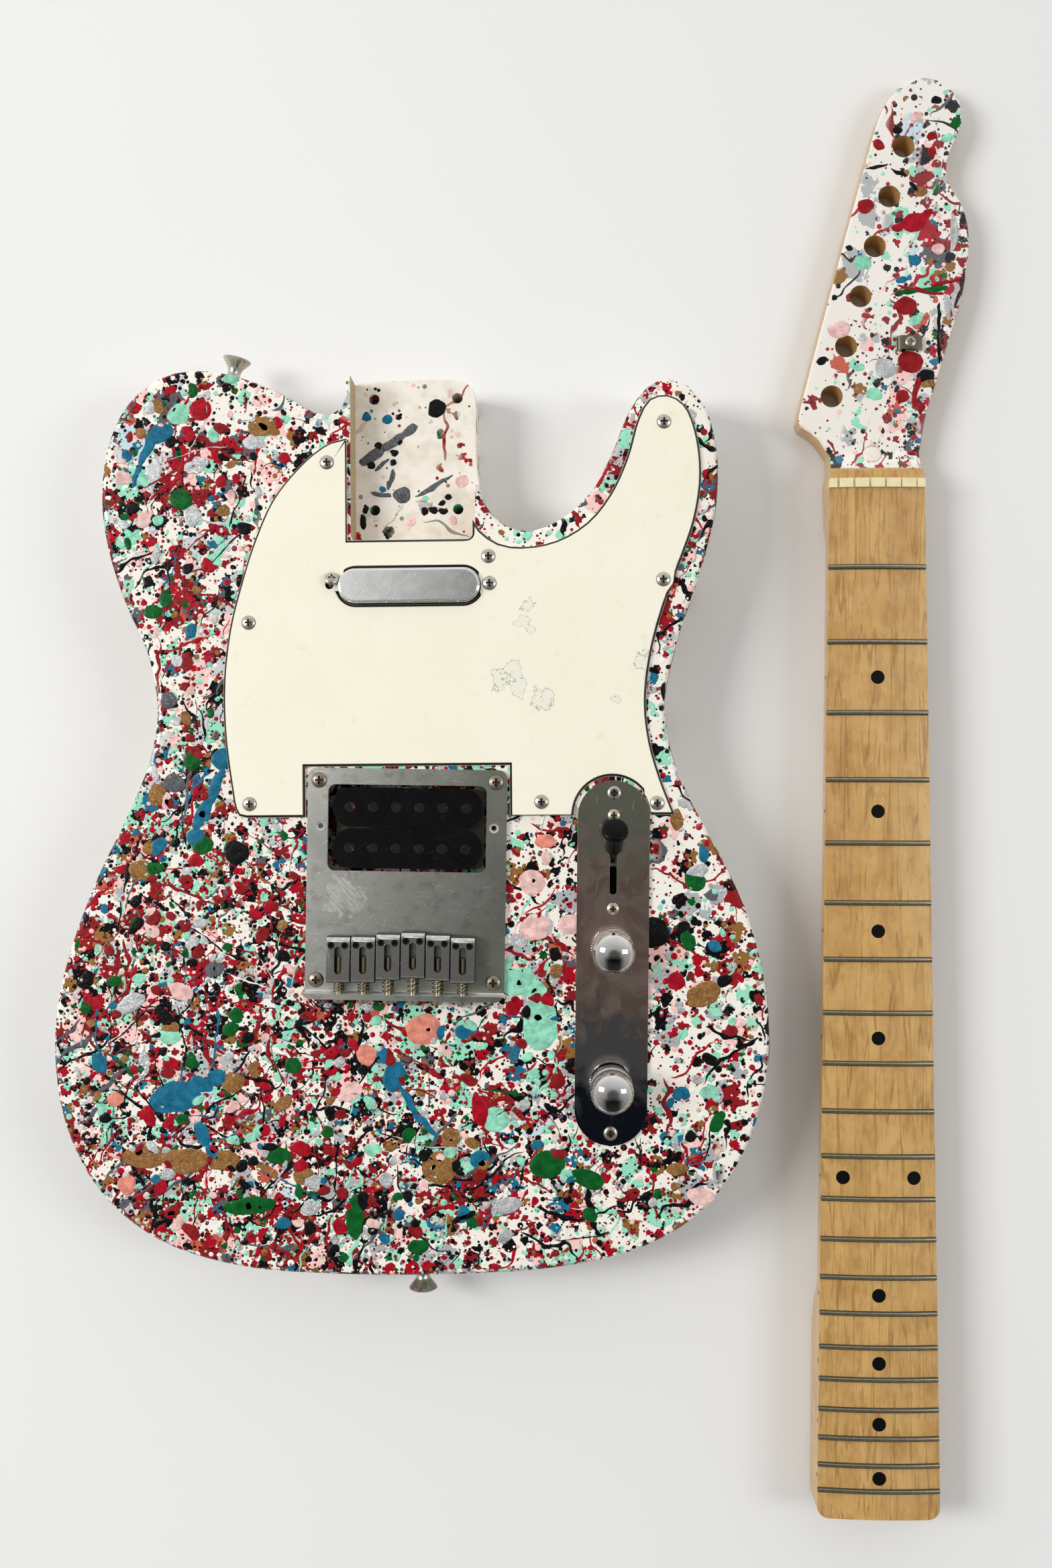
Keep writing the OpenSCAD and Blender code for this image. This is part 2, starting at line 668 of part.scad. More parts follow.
// Coil between the bridge's lip and the back of its saddle
module saddle_spring(i) {
    lip = -bridge_len / 2 + lip_thick;
    room = saddle_y + saddle_shift[i - 1] - saddle_len / 2 - lip;
    turns = 3;
    around = 12;
    // The coil touches its seats with a hair of clearance at each end
    rise = room - 2 * spring_wire_r - 0.2;
    rings = [for (k = [0 : turns * around])
        let (a = 360 * k / around, t = k / (turns * around))
        [for (j = [0 : 5])
            let (b = -60 * j, r = spring_r + spring_wire_r * cos(b))
            [r * cos(a), r * sin(a), spring_wire_r + 0.1 + rise * t + spring_wire_r * sin(b)]]];
    color("silver") at_bridge() translate([saddle_x(i), lip, screw_z]) rotate([-90, 0, 0])
        skin(rings, whole_cap(len(rings[0])));
}

// ---- humbucker --------------------------------------------------------------------

bobbin_top = 0.4;   // above the body's face, below the top of the bridge plate
bobbin_h = 13;

module at_bobbins() {
    for (side = [-1, 1]) translate([0, pickup_y + side * pole_rows / 2, 0]) children();
}

module bridge_pickup_bobbins() {
    color([0.05, 0.05, 0.06]) at_bridge() difference() {
        at_bobbins() rotate([0, 0, 90]) union() {
            translate([0, 0, bobbin_top - 1.6]) stadium(bobbin_len, bobbin_w, 1.6);
            translate([0, 0, bobbin_top - bobbin_h]) stadium(bobbin_len - 2, bobbin_w - 1.6, bobbin_h - 1.6);
        }
        at_poles() cylinder(r = pole_r + 0.02, h = big, center = true);
    }
}

module at_poles() {
    at_bobbins() for (i = [0 : 5]) translate([(i - 2.5) * pole_pitch + 0.3, 0, 0]) children();
}

module bridge_pickup_poles() {
    color([0.1, 0.1, 0.1]) at_bridge() at_poles()
        translate([0, 0, bobbin_top - bobbin_h]) cylinder(r = pole_r, h = bobbin_h + 0.3);
}

// Nickel base plate on two bent legs that stand on the cavity's floor
module bridge_pickup_base() {
    top = bobbin_top - bobbin_h;
    leg_w = 8;
    color("silver") at_bridge() translate([0, pickup_y, 0]) {
        translate([0, 0, top - 1.2]) round_plate(bobbin_len, 2 * bobbin_w, 1.2, 3);
        for (x = [-1, 1]) translate([x * (bobbin_len / 2 - 4.6) - 0.6, -leg_w / 2, -pickup_cavity_depth])
            cube([1.2, leg_w, pickup_cavity_depth + top - 1.2]);
    }
}

// ---- control plate, switch and pots -------------------------------------------------

module at_panel_screws() {
    for (side = [-1, 1]) at_panel() translate([0, side * panel_screw_y, panel_thick]) children();
}
module at_switch_screws() {
    for (side = [-1, 1]) translate([0, switch_y + side * switch_screw_gap / 2, panel_thick]) children();
}

module control_plate() {
    color("silver") difference() {
        at_panel() difference() {
            stadium(panel_len, panel_w, panel_thick);
            translate([0, switch_y, -past]) stadium(panel_slot_len, panel_slot_w, panel_thick + 2 * past);
            for (y = [volume_y, tone_y]) translate([0, y, -past])
                cylinder(r = bushing_r + running, h = panel_thick + 2 * past);
            at_switch_screws() screw_seat(2.8, 1.2, 1.2, 8);
        }
        at_panel_screws() small_seat();
    }
}

module switch_screws() {
    color("silver") at_panel() at_switch_screws() oval_screw(2.8, 1.2, 1.2, 8);
}

// Steel bracket that hangs from two screws and holds the lever's pivot pin
module switch_frame() {
    arm = 20;
    cheek = 1.2;
    color("dimgray") at_panel() translate([0, switch_y, 0]) {
        difference() {
            union() {
                for (side = [-1, 1]) {
                    translate([-4, side * switch_screw_gap / 2 - 4, -cheek]) cube([8, 8, cheek]);
                    translate([side * (cheek_x + cheek / 2) - cheek / 2, -switch_screw_gap / 2 - 2, -arm])
                        cube([cheek, switch_screw_gap + 4, arm]);
                }
                translate([-cheek_x - cheek, -switch_screw_gap / 2 - 2, -arm - cheek])
                    cube([2 * (cheek_x + cheek), switch_screw_gap + 4, cheek]);
                translate([0, 0, pivot_z]) rotate([0, 90, 0])
                    cylinder(r = 1.5, h = 2 * (cheek_x + cheek), center = true);
            }
            for (side = [-1, 1]) translate([0, side * switch_screw_gap / 2, -10])
                cylinder(r = 1.2 + running, h = 11);
        }
    }
}

module at_switch_pivot() {
    at_panel() translate([0, switch_y, pivot_z]) rotate([-switch_half_throw, 0, 0]) children();
}

module switch_lever() {
    reach = tip_foot + tip_slot - 0.1;
    color("silver") at_switch_pivot() difference() {
        union() {
            rotate([0, 90, 0]) cylinder(r = 3.6, h = 2 * cheek_x - 0.2, center = true);
            translate([-lever_thick / 2, -lever_w / 2, 0]) cube([lever_thick, lever_w, reach]);
        }
        rotate([0, 90, 0]) cylinder(r = 1.5 + running, h = 12, center = true);
    }
}

// Moulded tip: a barrel that flares into a round, shallow-domed head
module switch_tip() {
    color([0.06, 0.06, 0.06]) at_switch_pivot() translate([0, 0, tip_foot]) difference() {
        rotate_extrude() polygon(concat(
            [[0, 0], [3.5, 0], [4, 0.6], [4, tip_h - 8], [4.6, tip_h - 4.6]],
            arc([4.3, tip_h - 2.3], 1.5, -40, 80, 5),
            [[2.8, tip_h - 0.3], [0, tip_h]]));
        translate([-lever_thick / 2 - 0.02, -lever_w / 2 - 0.02, -past])
            cube([lever_thick + 0.04, lever_w + 0.04, tip_slot + past]);
    }
}

// The three lugs point along Y, to the side given
module pot(y, side) {
    can_r = 11.6;
    color("silver") at_panel() translate([0, y, 0]) difference() {
        union() {
            translate([0, 0, -10]) cylinder(r = can_r, h = 8.8);
            translate([0, 0, -1.2]) cylinder(r = can_r - 0.6, h = 1.2);
            cylinder(r = bushing_r, h = panel_thick + 4.4);
            for (x = [-5, 0, 5]) translate([x - 1, side * 13 - 3, -6]) cube([2, 6, 0.8]);
        }
        translate([0, 0, -8.5]) cylinder(r = shaft_r + running, h = 30);
    }
}

module pot_nuts() {
    color("silver") at_panel() for (y = [volume_y, tone_y]) translate([0, y, panel_thick]) difference() {
        cylinder(r = bushing_r * 1.45, h = 2.4, $fn = 6);
        translate([0, 0, -past]) cylinder(r = bushing_r + 0.03, h = 5);
    }
}

module pot_shaft(y, lift) {
    color("silver") at_panel() translate([0, y, -8.4])
        cylinder(r = shaft_r, h = 8.4 + panel_thick + lift + knob_h - 6);
}

// Turned knob in two knurled bands with a domed top, hollow over the pot's nut
module knob(y, lift) {
    band = knob_h * 0.37;
    dome_z = knob_h - 5.4;
    color("silver") at_panel() translate([0, y, panel_thick + lift]) difference() {
        rotate_extrude($fn = 96) polygon(concat(
            [[0, 0], [knob_r - 0.4, 0], [knob_r, 0.5], [knob_r, band - 0.3], [knob_r - 0.7, band],
             [knob_r - 0.7, band + 0.9], [knob_r - 0.1, band + 1.3], [knob_r - 0.1, dome_z - 0.4],
             [knob_r - 0.4, dome_z]],
            [for (i = [1 : 8]) [(knob_r - 0.4) * cos(11.25 * i), dome_z + 5.4 * sin(11.25 * i)]]));
        translate([0, 0, -past]) cylinder(r = knob_r - 1.6, h = 5 + past);
        translate([0, 0, -past]) cylinder(r = shaft_r + 0.02, h = knob_h - 6 + past);
    }
}

// ---- strap buttons and jack -----------------------------------------------------------

module at_strap_buttons() {
    translate([stretch_x(-86.2), 77.2, body_thick / 2]) rotate([-90, 0, -13]) children();
    translate([0, tail_y, body_thick / 2]) rotate([90, 0, 0]) children();
}

module strap_buttons() {
    color("silver") at_strap_buttons() difference() {
        rotate_extrude() polygon(concat(
            [[0, 0.3], [4.4, 0.3], [4.6, 1], [3.2, 3.6], [2.9, 6], [3.4, 8]],
            [[6.1, 11.4], [6.5, 12], [6.4, button_len], [0, button_len]]));
        translate([0, 0, button_len - 0.6]) screw_seat(3.5, 2.3, 1.55, strap_screw_len);
    }
}
module strap_screws() {
    color("silver") at_strap_buttons() translate([0, 0, button_len - 0.6])
        oval_screw(3.5, 2.3, 1.55, strap_screw_len);
}

jack_r = 11;
jack_flange_r = 13.4;
jack_seat_x = side_x - 0.6;

module at_jack() { translate([jack_seat_x, jack_y, body_thick / 2]) rotate([0, 90, 0]) children(); }

// Turned cup, pressed into the hole in the body's side, with the socket at its bottom
module jack_cup() {
    color("silver") at_jack() difference() {
        rotate_extrude() polygon([
            [0, -14], [jack_r - 0.1, -14], [jack_r - 0.1, 0], [jack_flange_r, 0], [jack_flange_r, 1.1],
            [jack_flange_r - 0.9, 1.8], [9.4, 1.2], [7.6, -12.4], [0, -12.4]]);
        cylinder(r = bushing_r + 0.03, h = 60, center = true);
    }
}

module jack_socket() {
    color("silver") at_jack() difference() {
        union() {
            translate([0, 0, -17.5]) cylinder(r = 7, h = 3.5);
            translate([0, 0, -17.5]) cylinder(r = bushing_r, h = 8.1);
            translate([0, 0, -12.4]) cylinder(r = bushing_r * 1.45, h = 2.2, $fn = 6);
            translate([-1.6, -6, -33]) cube([3.2, 1, 16]);
            translate([-1.6, 5, -33]) cube([3.2, 1, 16]);
        }
        cylinder(r = 3.25, h = 60, center = true);
    }
}

// ---- neck ---------------------------------------------------------------------------

function half_board(y) = (nut_w + (heel_w - nut_w) * max(0, -y) / heel_y) / 2;
function fret_y(n) = -scale_len * (1 - pow(2, -n / 12));
function ease(t) = let (u = min(1, max(0, t))) u * u * (3 - 2 * u);

// Underside of the neck, which thins from the heel towards the nut
function back_z(y) =
    let (heel_start = heel_block - heel_y, shaft_z = 2.6 + (heel_y + y) / heel_y * 1.9)
    y > 0 ? head_back + 0.1 :
    y > -26 ? shaft_z + (head_back + 0.1 - shaft_z) * ease((y + 26) / 26) :
    shaft_z * ease((y - heel_start) / 34);
// Squareness of the back: large at the heel and headstock, round between them
function back_power(y) =
    let (heel_start = heel_block - heel_y)
    2.3 + 12 * (1 - ease((y - heel_start) / 30)) + 12 * ease((y + 26) / 28);
// Height of the fingerboard's crown, which falls away in the scoop behind the nut
function crown_z(y) =
    y <= strip_end ? heel_thick :
    head_z - 0.5 + (head_drop + 0.5) * pow(1 - (y - strip_end) / (scoop_end - strip_end), 2);
function flatness(y) = y <= strip_end ? 1 : 1 - ease((y - strip_end) / 6);
function heel_corner(y) =
    let (r = 5, d = min(r, y + heel_y)) r - sqrt(r * r - (r - d) * (r - d));
function half_neck(y) = half_board(y) - heel_corner(y) - 1.2 * ease((y - nut_thick) / 6);

// How far the curved board lies below its crown, x from the middle
function board_sag(x) = board_radius - sqrt(board_radius * board_radius - x * x);

function neck_ring(y) =
    let (hw = half_neck(y), sides = 24, top = 12, edge = 5,
         sag = function(x) flatness(y) * board_sag(x),
         side_z = crown_z(y) - sag(hw) - edge, zb = back_z(y), e = 2 / back_power(y))
    concat(
        [for (i = [0 : top]) let (x = -hw + 2 * hw * i / top) [x, y, crown_z(y) - sag(x)]],
        [for (i = [0 : sides])
            let (a = -180 * i / sides, c = cos(a), s = sin(a))
            [hw * sign(c) * pow(abs(c), e), y, side_z - (side_z - zb) * pow(abs(s), e)]]);

neck_stations = concat(
    [for (d = [0, 0.4, 1.4, 3, 5]) d - heel_y],
    [for (i = [0 : 6]) heel_block - heel_y + 6 * i],
    [-300, -200, -100, -26, -21, -16, -11, -6, 0, 4, strip_end],
    [for (i = [1 : 5]) strip_end + (scoop_end - strip_end) * i / 5]);

module neck_blank() { skin([for (y = neck_stations) neck_ring(y)], whole_cap(len(neck_ring(0)))); }

// Anticlockwise: treble side of the nut, up the treble edge, round the tip and
// down the straight bass edge to the corner and the hollow beside the nut
head_points = [
    [19.6, 15], [21.4, 19.5], [22.6, 28], [25.2, 39], [28.9, 50.5], [33, 64.3], [37.2, 77.5],
    [40.3, 88], [42.6, 99], [43.9, 110], [44, 120], [42.6, 128.3], [39.6, 135.5],
    [36, 141], [33.9, 146.5], [34, 152.5], [36.6, 160.5], [40, 168], [41.3, 175],
    [40, 181.3], [36.2, 187.2], [30.6, 191.3], [24, 193], [17.8, 191.9], [11.6, 188],
    [7, 182.7], [3.7, 176.8], [1, 169.5], [-4.2, 151], [-18, 99.5], [-30.5, 52],
    [-34.4, 36], [-35, 32.6], [-33.6, 29.6], [-29.6, 27.2], [-25.8, 24],
    [-22.6, 19.4], [-19.6, 15]];
head_outline = open_curve(head_points, 5);

first_tuner = [-19.4, 44];
tuner_step = [6.66, 23.26];
tuner_count = 6;
tree_at = [16, 67.9];

module at_tuners() {
    for (i = [0 : tuner_count - 1])
        translate([first_tuner.x + i * tuner_step.x, first_tuner.y + i * tuner_step.y, 0]) children();
}

channel_w = 5.5;
channel_top = heel_thick - 8;
rod_z = heel_thick - 11;
rod_r = 2.4;
stripe_top = rod_z - rod_r - 0.2;
channel_from = 12 - heel_y;
channel_to = -18;

module neck() {
    color([0.85, 0.65, 0.38]) at_neck() difference() {
        union() {
            neck_blank();
            translate([0, 0, head_back]) rounded_slab(head_outline, head_thick, 1.5);
        }
        at_tuners() cylinder(r = tuner_r, h = big, center = true);
        translate([-channel_w / 2, channel_from, -big])
            cube([channel_w, channel_to - channel_from, big + channel_top]);
        translate([0, channel_from + past, rod_z]) rotate([90, 0, 0]) cylinder(r = 4.1, h = big);
        translate([-nut_w, 0, nut_seat_z]) cube([2 * nut_w, nut_thick, big]);
        at_dots() translate([0, 0, -dot_depth]) cylinder(r = dot_r + 0.01, h = big);
        at_side_dots() cylinder(r = side_dot_r + 0.01, h = 2 * side_dot_depth, center = true);
        for (n = [1 : fret_count])
            translate([-big / 2, fret_y(n) - tang_w / 2 - 0.02, heel_thick - tang_h - sag_at_edge(n)])
            cube([big, tang_w + 0.04, big]);
        plug_tilt() translate([0, 0, -6]) cylinder(r = plug_r + 0.01, h = 16);
        translate([tree_at.x, tree_at.y, head_z - 9]) cylinder(r = 1.25, h = 20);
        translate([-2.1, 52.4, head_z - 6]) cylinder(r = 0.8, h = 20);
        at_heel_holes() cylinder(r = 1.7, h = 17);
    }
}

function sag_at_edge(n) = board_sag(half_board(fret_y(n)));

module at_heel_holes() {
    for (x = [-1, 1], y = [-1, 1])
        translate([x * bolt_dx / 2, bolt_mid - heel_y + y * bolt_dy / 2, -past]) children();
}

tang_w = 0.6;
tang_h = 1.6;

// Each fret is a length of T-shaped wire bent to the board's radius
module fret(n) {
    y = fret_y(n);
    reach = asin((half_board(y) - 0.1) / board_radius);
    crown = [for (i = [0 : 8]) let (a = 180 * i / 8) [fret_h * sin(a), fret_w / 2 * cos(a)]];
    tang = sag_at_edge(n) < tang_h ? tang_h - 0.1 : 1;
    profile = concat(crown, [[0, -tang_w / 2], [-tang, -tang_w / 2], [-tang, tang_w / 2], [0, tang_w / 2]]);
    translate([0, y, heel_thick - board_radius + 0.02]) rotate([90, 0, 0]) rotate([0, 0, 90 - reach])
        rotate_extrude(angle = 2 * reach, $fn = 480) translate([board_radius, 0]) polygon(profile);
}

module frets() {
    // The ends are bevelled together, in one line along each edge of the board
    slope = 1.6;
    low = heel_thick - 6;
    high = heel_thick + 2;
    edge = function(y, z) half_board(y) + (heel_thick - z) * (slope / 4) + 0.1;
    y1 = fret_y(fret_count) - 5;
    corners = [for (z = [low, high]) each [
        [-edge(y1, z), y1, z], [edge(y1, z), y1, z], [edge(0, z), 0, z], [-edge(0, z), 0, z]]];
    color([0.62, 0.6, 0.5]) at_neck() intersection() {
        union() for (n = [1 : fret_count]) fret(n);
        polyhedron(corners,
            [[0, 1, 2, 3], [7, 6, 5, 4], [0, 4, 5, 1], [1, 5, 6, 2], [2, 6, 7, 3], [3, 7, 4, 0]]);
    }
}

nut_seat_z = heel_thick - 3.2;
string_count = 6;

module nut() {
    hw = nut_w / 2 - 0.1;
    top = heel_thick + 1.7;
    r = board_radius;
    profile = concat([[-hw, nut_seat_z], [hw, nut_seat_z]],
        [for (i = [0 : 12]) let (x = hw - 2 * hw * i / 12) [x, top - r + sqrt(r * r - x * x)]]);
    spread = nut_w - 8;
    color([0.95, 0.9, 0.75]) at_neck() difference() {
        translate([0, nut_thick - 0.02, 0]) rotate([90, 0, 0])
            linear_extrude(nut_thick - 0.04) polygon(profile);
        for (i = [0 : string_count - 1])
            let (x = (i / (string_count - 1) - 0.5) * spread, w = 1.1 - 0.13 * i)
            translate([x, 0, top - 1.1 - x * x / 2 / r]) rotate([-90, 0, 0]) {
                cylinder(r = w / 2, h = 20, center = true);
                translate([-w / 2, -10, -10]) cube([w, 10, 20]);
            }
    }
}

// One dot between the frets at 3, 5, 7, 9, 15, 17, 19 and 21, and two at 12
single_dots = [3, 5, 7, 9, 15, 17, 19, 21];
octave_dot_x = 16;
dot_depth = 1.5;
side_dot_r = 1;
side_dot_depth = 1.2;
function between_frets(n) = (fret_y(n) + fret_y(n - 1)) / 2;

module at_dots() {
    for (n = single_dots) if (n <= fret_count) translate([0, between_frets(n), heel_thick]) children();
    for (x = [-octave_dot_x, octave_dot_x])
        translate([x, between_frets(12), heel_thick - board_sag(x)])
        rotate([0, asin(x / board_radius), 0]) children();
}
module at_side_dots() {
    for (n = concat(single_dots, [12])) if (n <= fret_count)
        translate([-half_board(between_frets(n)), between_frets(n), heel_thick - 3.6]) rotate([0, 90, 0])
            children();
}

module position_dots() {
    color([0.08, 0.07, 0.06]) at_neck() {
        at_dots() translate([0, 0, -dot_depth]) cylinder(r = dot_r, h = dot_depth - 0.02);
        at_side_dots() cylinder(r = side_dot_r, h = side_dot_depth);
    }
}

plug_r = 4.3;
module plug_tilt() { translate([-1, 16.6, head_z + 0.3]) rotate([-14, 0, 0]) children(); }

// Walnut: the stripe that closes the rod's channel and the plug above the nut
module walnut_inlays() {
    color([0.35, 0.22, 0.13]) at_neck() {
        intersection() {
            neck_blank();
            translate([-channel_w / 2 + 0.02, channel_from + 0.02, -past])
                cube([channel_w - 0.04, channel_to - channel_from - 0.04, stripe_top + past]);
        }
        plug_tilt() translate([0, 0, -6]) rotate_extrude()
            polygon([[0, 0], [plug_r, 0], [plug_r, 6.3], [plug_r - 0.7, 6.9], [plug_r - 2, 7.2], [0, 7.3]]);
    }
}

module truss_rod() {
    color("gray") at_neck() {
        translate([0, channel_to - 0.5, rod_z]) rotate([90, 0, 0])
            cylinder(r = rod_r, h = channel_to - 0.5 - channel_from + 4);
        translate([0, 1.2 + 7 - heel_y, rod_z]) rotate([90, 0, 0]) difference() {
            cylinder(r = 3.9, h = 7);
            for (turn = [0, 90]) rotate([0, 0, turn]) translate([0, 0, 7]) cube([6, 1.2, 4], center = true);
        }
    }
}

// Pressed steel bar that holds two strings down, on a post under its screw
module string_tree() {
    w = 11.7;
    l = 6.4;
    stand = 2.6;
    wing = [[-w / 2, 1.6], [-w / 2 + 0.9, 1], [-w / 2 + 1.8, 1.8], [-w / 2 + 2.6, stand],
        [w / 2 - 2.6, stand], [w / 2 - 1.8, 1.8], [w / 2 - 0.9, 1], [w / 2, 1.6],
        [w / 2 - 0.4, 2.9], [w / 2 - 2, stand + 1.2], [-w / 2 + 2, stand + 1.2], [-w / 2 + 0.4, 2.9]];
    color("silver") at_neck() translate([tree_at.x, tree_at.y, head_z]) difference() {
        union() {
            translate([0, l / 2, 0]) rotate([90, 0, 0]) linear_extrude(l) polygon(wing);
            cylinder(r = 2.2, h = stand + 0.1);
        }
        translate([0, 0, stand + 1.3]) screw_seat(2.6, 1, 1.2, 12);
    }
}
module string_tree_screw() {
    color("silver") at_neck() translate([tree_at.x, tree_at.y, head_z + 3.9])
        oval_screw(2.6, 1, 1.2, 12);
}

// ---- assembly -------------------------------------------------------------------------

body();
pickguard();
cover_screws();
neck_pickup_cover();
neck_pickup_bobbin();
neck_pickup_magnets();
neck_pickup_screws();
bridge_plate();
bridge_screws();
bridge_pickup_bobbins();
bridge_pickup_poles();
bridge_pickup_base();
control_plate();
switch_screws();
switch_frame();
switch_lever();
switch_tip();
pot(volume_y, -1);  // volume_pot
pot_shaft(volume_y, knob_gap);  // volume_shaft
knob(volume_y, knob_gap);  // volume_knob
pot(tone_y, 1);  // tone_pot
pot_shaft(tone_y, tone_knob_lift);  // tone_shaft
knob(tone_y, tone_knob_lift);  // tone_knob
pot_nuts();
strap_buttons();
strap_screws();
jack_cup();
jack_socket();
neck();
frets();
nut();
position_dots();
string_tree();
string_tree_screw();
truss_rod();
walnut_inlays();
for (i = [1 : 6]) {
    saddle(i);
    height_screws(i);
    intonation_screw(i);
    saddle_spring(i);
}
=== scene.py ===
import random
from contextlib import contextmanager
from math import cos, pi, radians, sin

import bpy
from mathutils import Matrix, Vector
from mathutils.bvhtree import BVHTree


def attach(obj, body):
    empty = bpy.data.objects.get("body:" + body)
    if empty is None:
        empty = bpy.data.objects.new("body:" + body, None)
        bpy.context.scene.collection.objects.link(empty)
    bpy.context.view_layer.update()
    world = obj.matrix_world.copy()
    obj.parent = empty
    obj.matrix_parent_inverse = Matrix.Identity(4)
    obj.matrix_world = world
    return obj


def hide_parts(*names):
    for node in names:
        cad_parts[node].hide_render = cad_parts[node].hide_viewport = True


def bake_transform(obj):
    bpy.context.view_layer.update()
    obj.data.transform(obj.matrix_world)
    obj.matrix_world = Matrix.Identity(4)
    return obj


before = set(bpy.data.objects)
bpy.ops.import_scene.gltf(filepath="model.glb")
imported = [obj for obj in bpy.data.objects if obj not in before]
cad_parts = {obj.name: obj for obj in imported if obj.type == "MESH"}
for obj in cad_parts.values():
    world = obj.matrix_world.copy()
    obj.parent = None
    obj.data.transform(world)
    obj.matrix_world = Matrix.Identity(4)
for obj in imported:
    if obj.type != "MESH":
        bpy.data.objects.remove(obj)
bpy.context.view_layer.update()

# ---- Camera ----
# Looks straight down on the body and the neck, laid side by side on a pale table,
# from two thirds of a metre.


def placed(name, data):
    """A new object in the scene."""
    made = bpy.data.objects.new(name, data)
    bpy.context.scene.collection.objects.link(made)
    return made


camera = placed("camera", bpy.data.cameras.new("camera"))
camera.location = (0.06655, -0.11465, 0.6692)
camera.rotation_euler = (0.0096, 0.0274, -0.0077)
camera.data.lens = 32.35
camera.data.sensor_width = 36
bpy.context.scene.camera = camera
bpy.context.scene.view_settings.view_transform = "Standard"

# ---- Table and lights ----
# A plain pale table, a large soft lamp to the left and a weaker one to the right,
# and an even grey room.


def srgb(red, green, blue):
    """The linear colour of three values from 0 to 255."""
    return tuple((v / 255 / 12.92) if v <= 10 else ((v / 255 + 0.055) / 1.055) ** 2.4
                 for v in (red, green, blue))


class Value:
    """One output of a material's nodes.  Sums and products of it add the Math nodes."""

    def __init__(self, tree, socket=None):
        self.tree = tree
        self.socket = socket

    def node(self, kind, settings=None, inputs=None, output=0):
        made = self.tree.nodes.new("ShaderNode" + kind)
        for name, value in (settings or {}).items():
            if name == "stops":
                ramp = made.color_ramp.elements
                ramp.remove(ramp[1])
                ramp[0].position = value[0][0]
                ramp[0].color = (*value[0][1], 1)
                for place, colour in value[1:]:
                    ramp.new(place).color = (*colour, 1)
            elif name == "blend_between_stops":
                made.color_ramp.interpolation = value
            else:
                setattr(made, name, value)
        for name, value in (inputs or {}).items():
            socket = made.inputs[name]
            if isinstance(value, Value):
                self.tree.links.new(value.socket, socket)
            elif isinstance(value, tuple) and len(value) == 3 and socket.type == "RGBA":
                socket.default_value = (*value, 1)
            else:
                socket.default_value = value
        return Value(self.tree, made.outputs[output]) if made.outputs else None

    def math(self, operation, *others):
        return self.node("Math", {"operation": operation}, dict(enumerate((self, *others))))

    def vector(self, operation, *others):
        return self.node("VectorMath", {"operation": operation}, dict(enumerate((self, *others))))

    def __add__(self, other): return self.math("ADD", other)
    def __radd__(self, other): return self.math("ADD", other)
    def __sub__(self, other): return self.math("SUBTRACT", other)

    def __rsub__(self, other):
        return self.node("Math", {"operation": "SUBTRACT"}, {0: other, 1: self})

    def __mul__(self, other): return self.math("MULTIPLY", other)
    def __rmul__(self, other): return self.math("MULTIPLY", other)
    def __truediv__(self, other): return self.math("DIVIDE", other)
    def least(self, other): return self.math("MINIMUM", other)
    def most(self, other): return self.math("MAXIMUM", other)

    def above(self, edge, soft):
        """0 below edge and 1 above it, over a band as wide as soft."""
        return self.node("MapRange", None, {"Value": self, "From Min": edge - soft / 2,
                                            "From Max": edge + soft / 2})

    def between(self, low, high, soft):
        return self.above(low, soft) * (1 - self.above(high, soft))

    def axes(self):
        return [self.node("SeparateXYZ", None, {0: self}, axis) for axis in (0, 1, 2)]

    def moved(self, x=0.0, y=0.0, z=0.0):
        return self.vector("ADD", (x, y, z))

    def stretched(self, x=1.0, y=1.0, z=1.0, turn=0.0):
        """The place turned by an angle in degrees, then scaled along each axis."""
        turned = self
        if turn:
            turned = self.node("VectorRotate", {"rotation_type": "Z_AXIS"},
                               {"Vector": self, "Angle": radians(turn)})
        return turned.vector("MULTIPLY", (x, y, z))

    def noise(self, size, detail=2, rough=0.5, flat=False, twist=0.0):
        return self.node("TexNoise", {"noise_dimensions": "2D" if flat else "3D"},
                         {"Vector": self, "Scale": 1 / size, "Detail": detail,
                          "Roughness": rough, "Distortion": twist})

    def hairs(self, width, edge, soft, turn, thin=0.06):
        """Fine scratches along y, turned by an angle in degrees."""
        return self.stretched(1, thin, 1, turn).noise(width, 2).above(edge, soft)

    def facing(self):
        """The three parts of the direction that the surface faces."""
        return self.node("NewGeometry", output="Normal").axes()

    def tinted(self, first, second):
        """The colour first where this value is 0 and second where it is 1."""
        return self.node("Mix", {"data_type": "RGBA"}, {0: self, 6: first, 7: second}, 2)


def away(x, y, at_x, at_y):
    """How far the point x, y is from another."""
    return ((x - at_x) * (x - at_x) + (y - at_y) * (y - at_y)).math("SQRT")


def new_finish(name):
    """A new material, and the place on the piece in millimetres."""
    material = bpy.data.materials.new(name)
    material.use_nodes = True
    material.node_tree.nodes.clear()
    place = Value(material.node_tree).node("TexCoord", output="Object")
    return material, place.node("VectorMath", {"operation": "SCALE"}, {0: place, "Scale": 1000.0})


def settle(material, colour, rough, metal=0.0, height=None, depth=0.1, **steady):
    """Joins the surface up.  Depth is the relief in millimetres where height is 1."""
    start = Value(material.node_tree)
    inputs = {"Base Color": colour, "Roughness": rough, "Metallic": metal}
    inputs.update({name.replace("_", " "): value for name, value in steady.items()})
    if height is not None:
        inputs["Normal"] = start.node("Bump", None, {"Height": height, "Distance": depth / 1000})
    surface = start.node("BsdfPrincipled", None, inputs)
    start.node("OutputMaterial", None, {"Surface": surface})
    return material


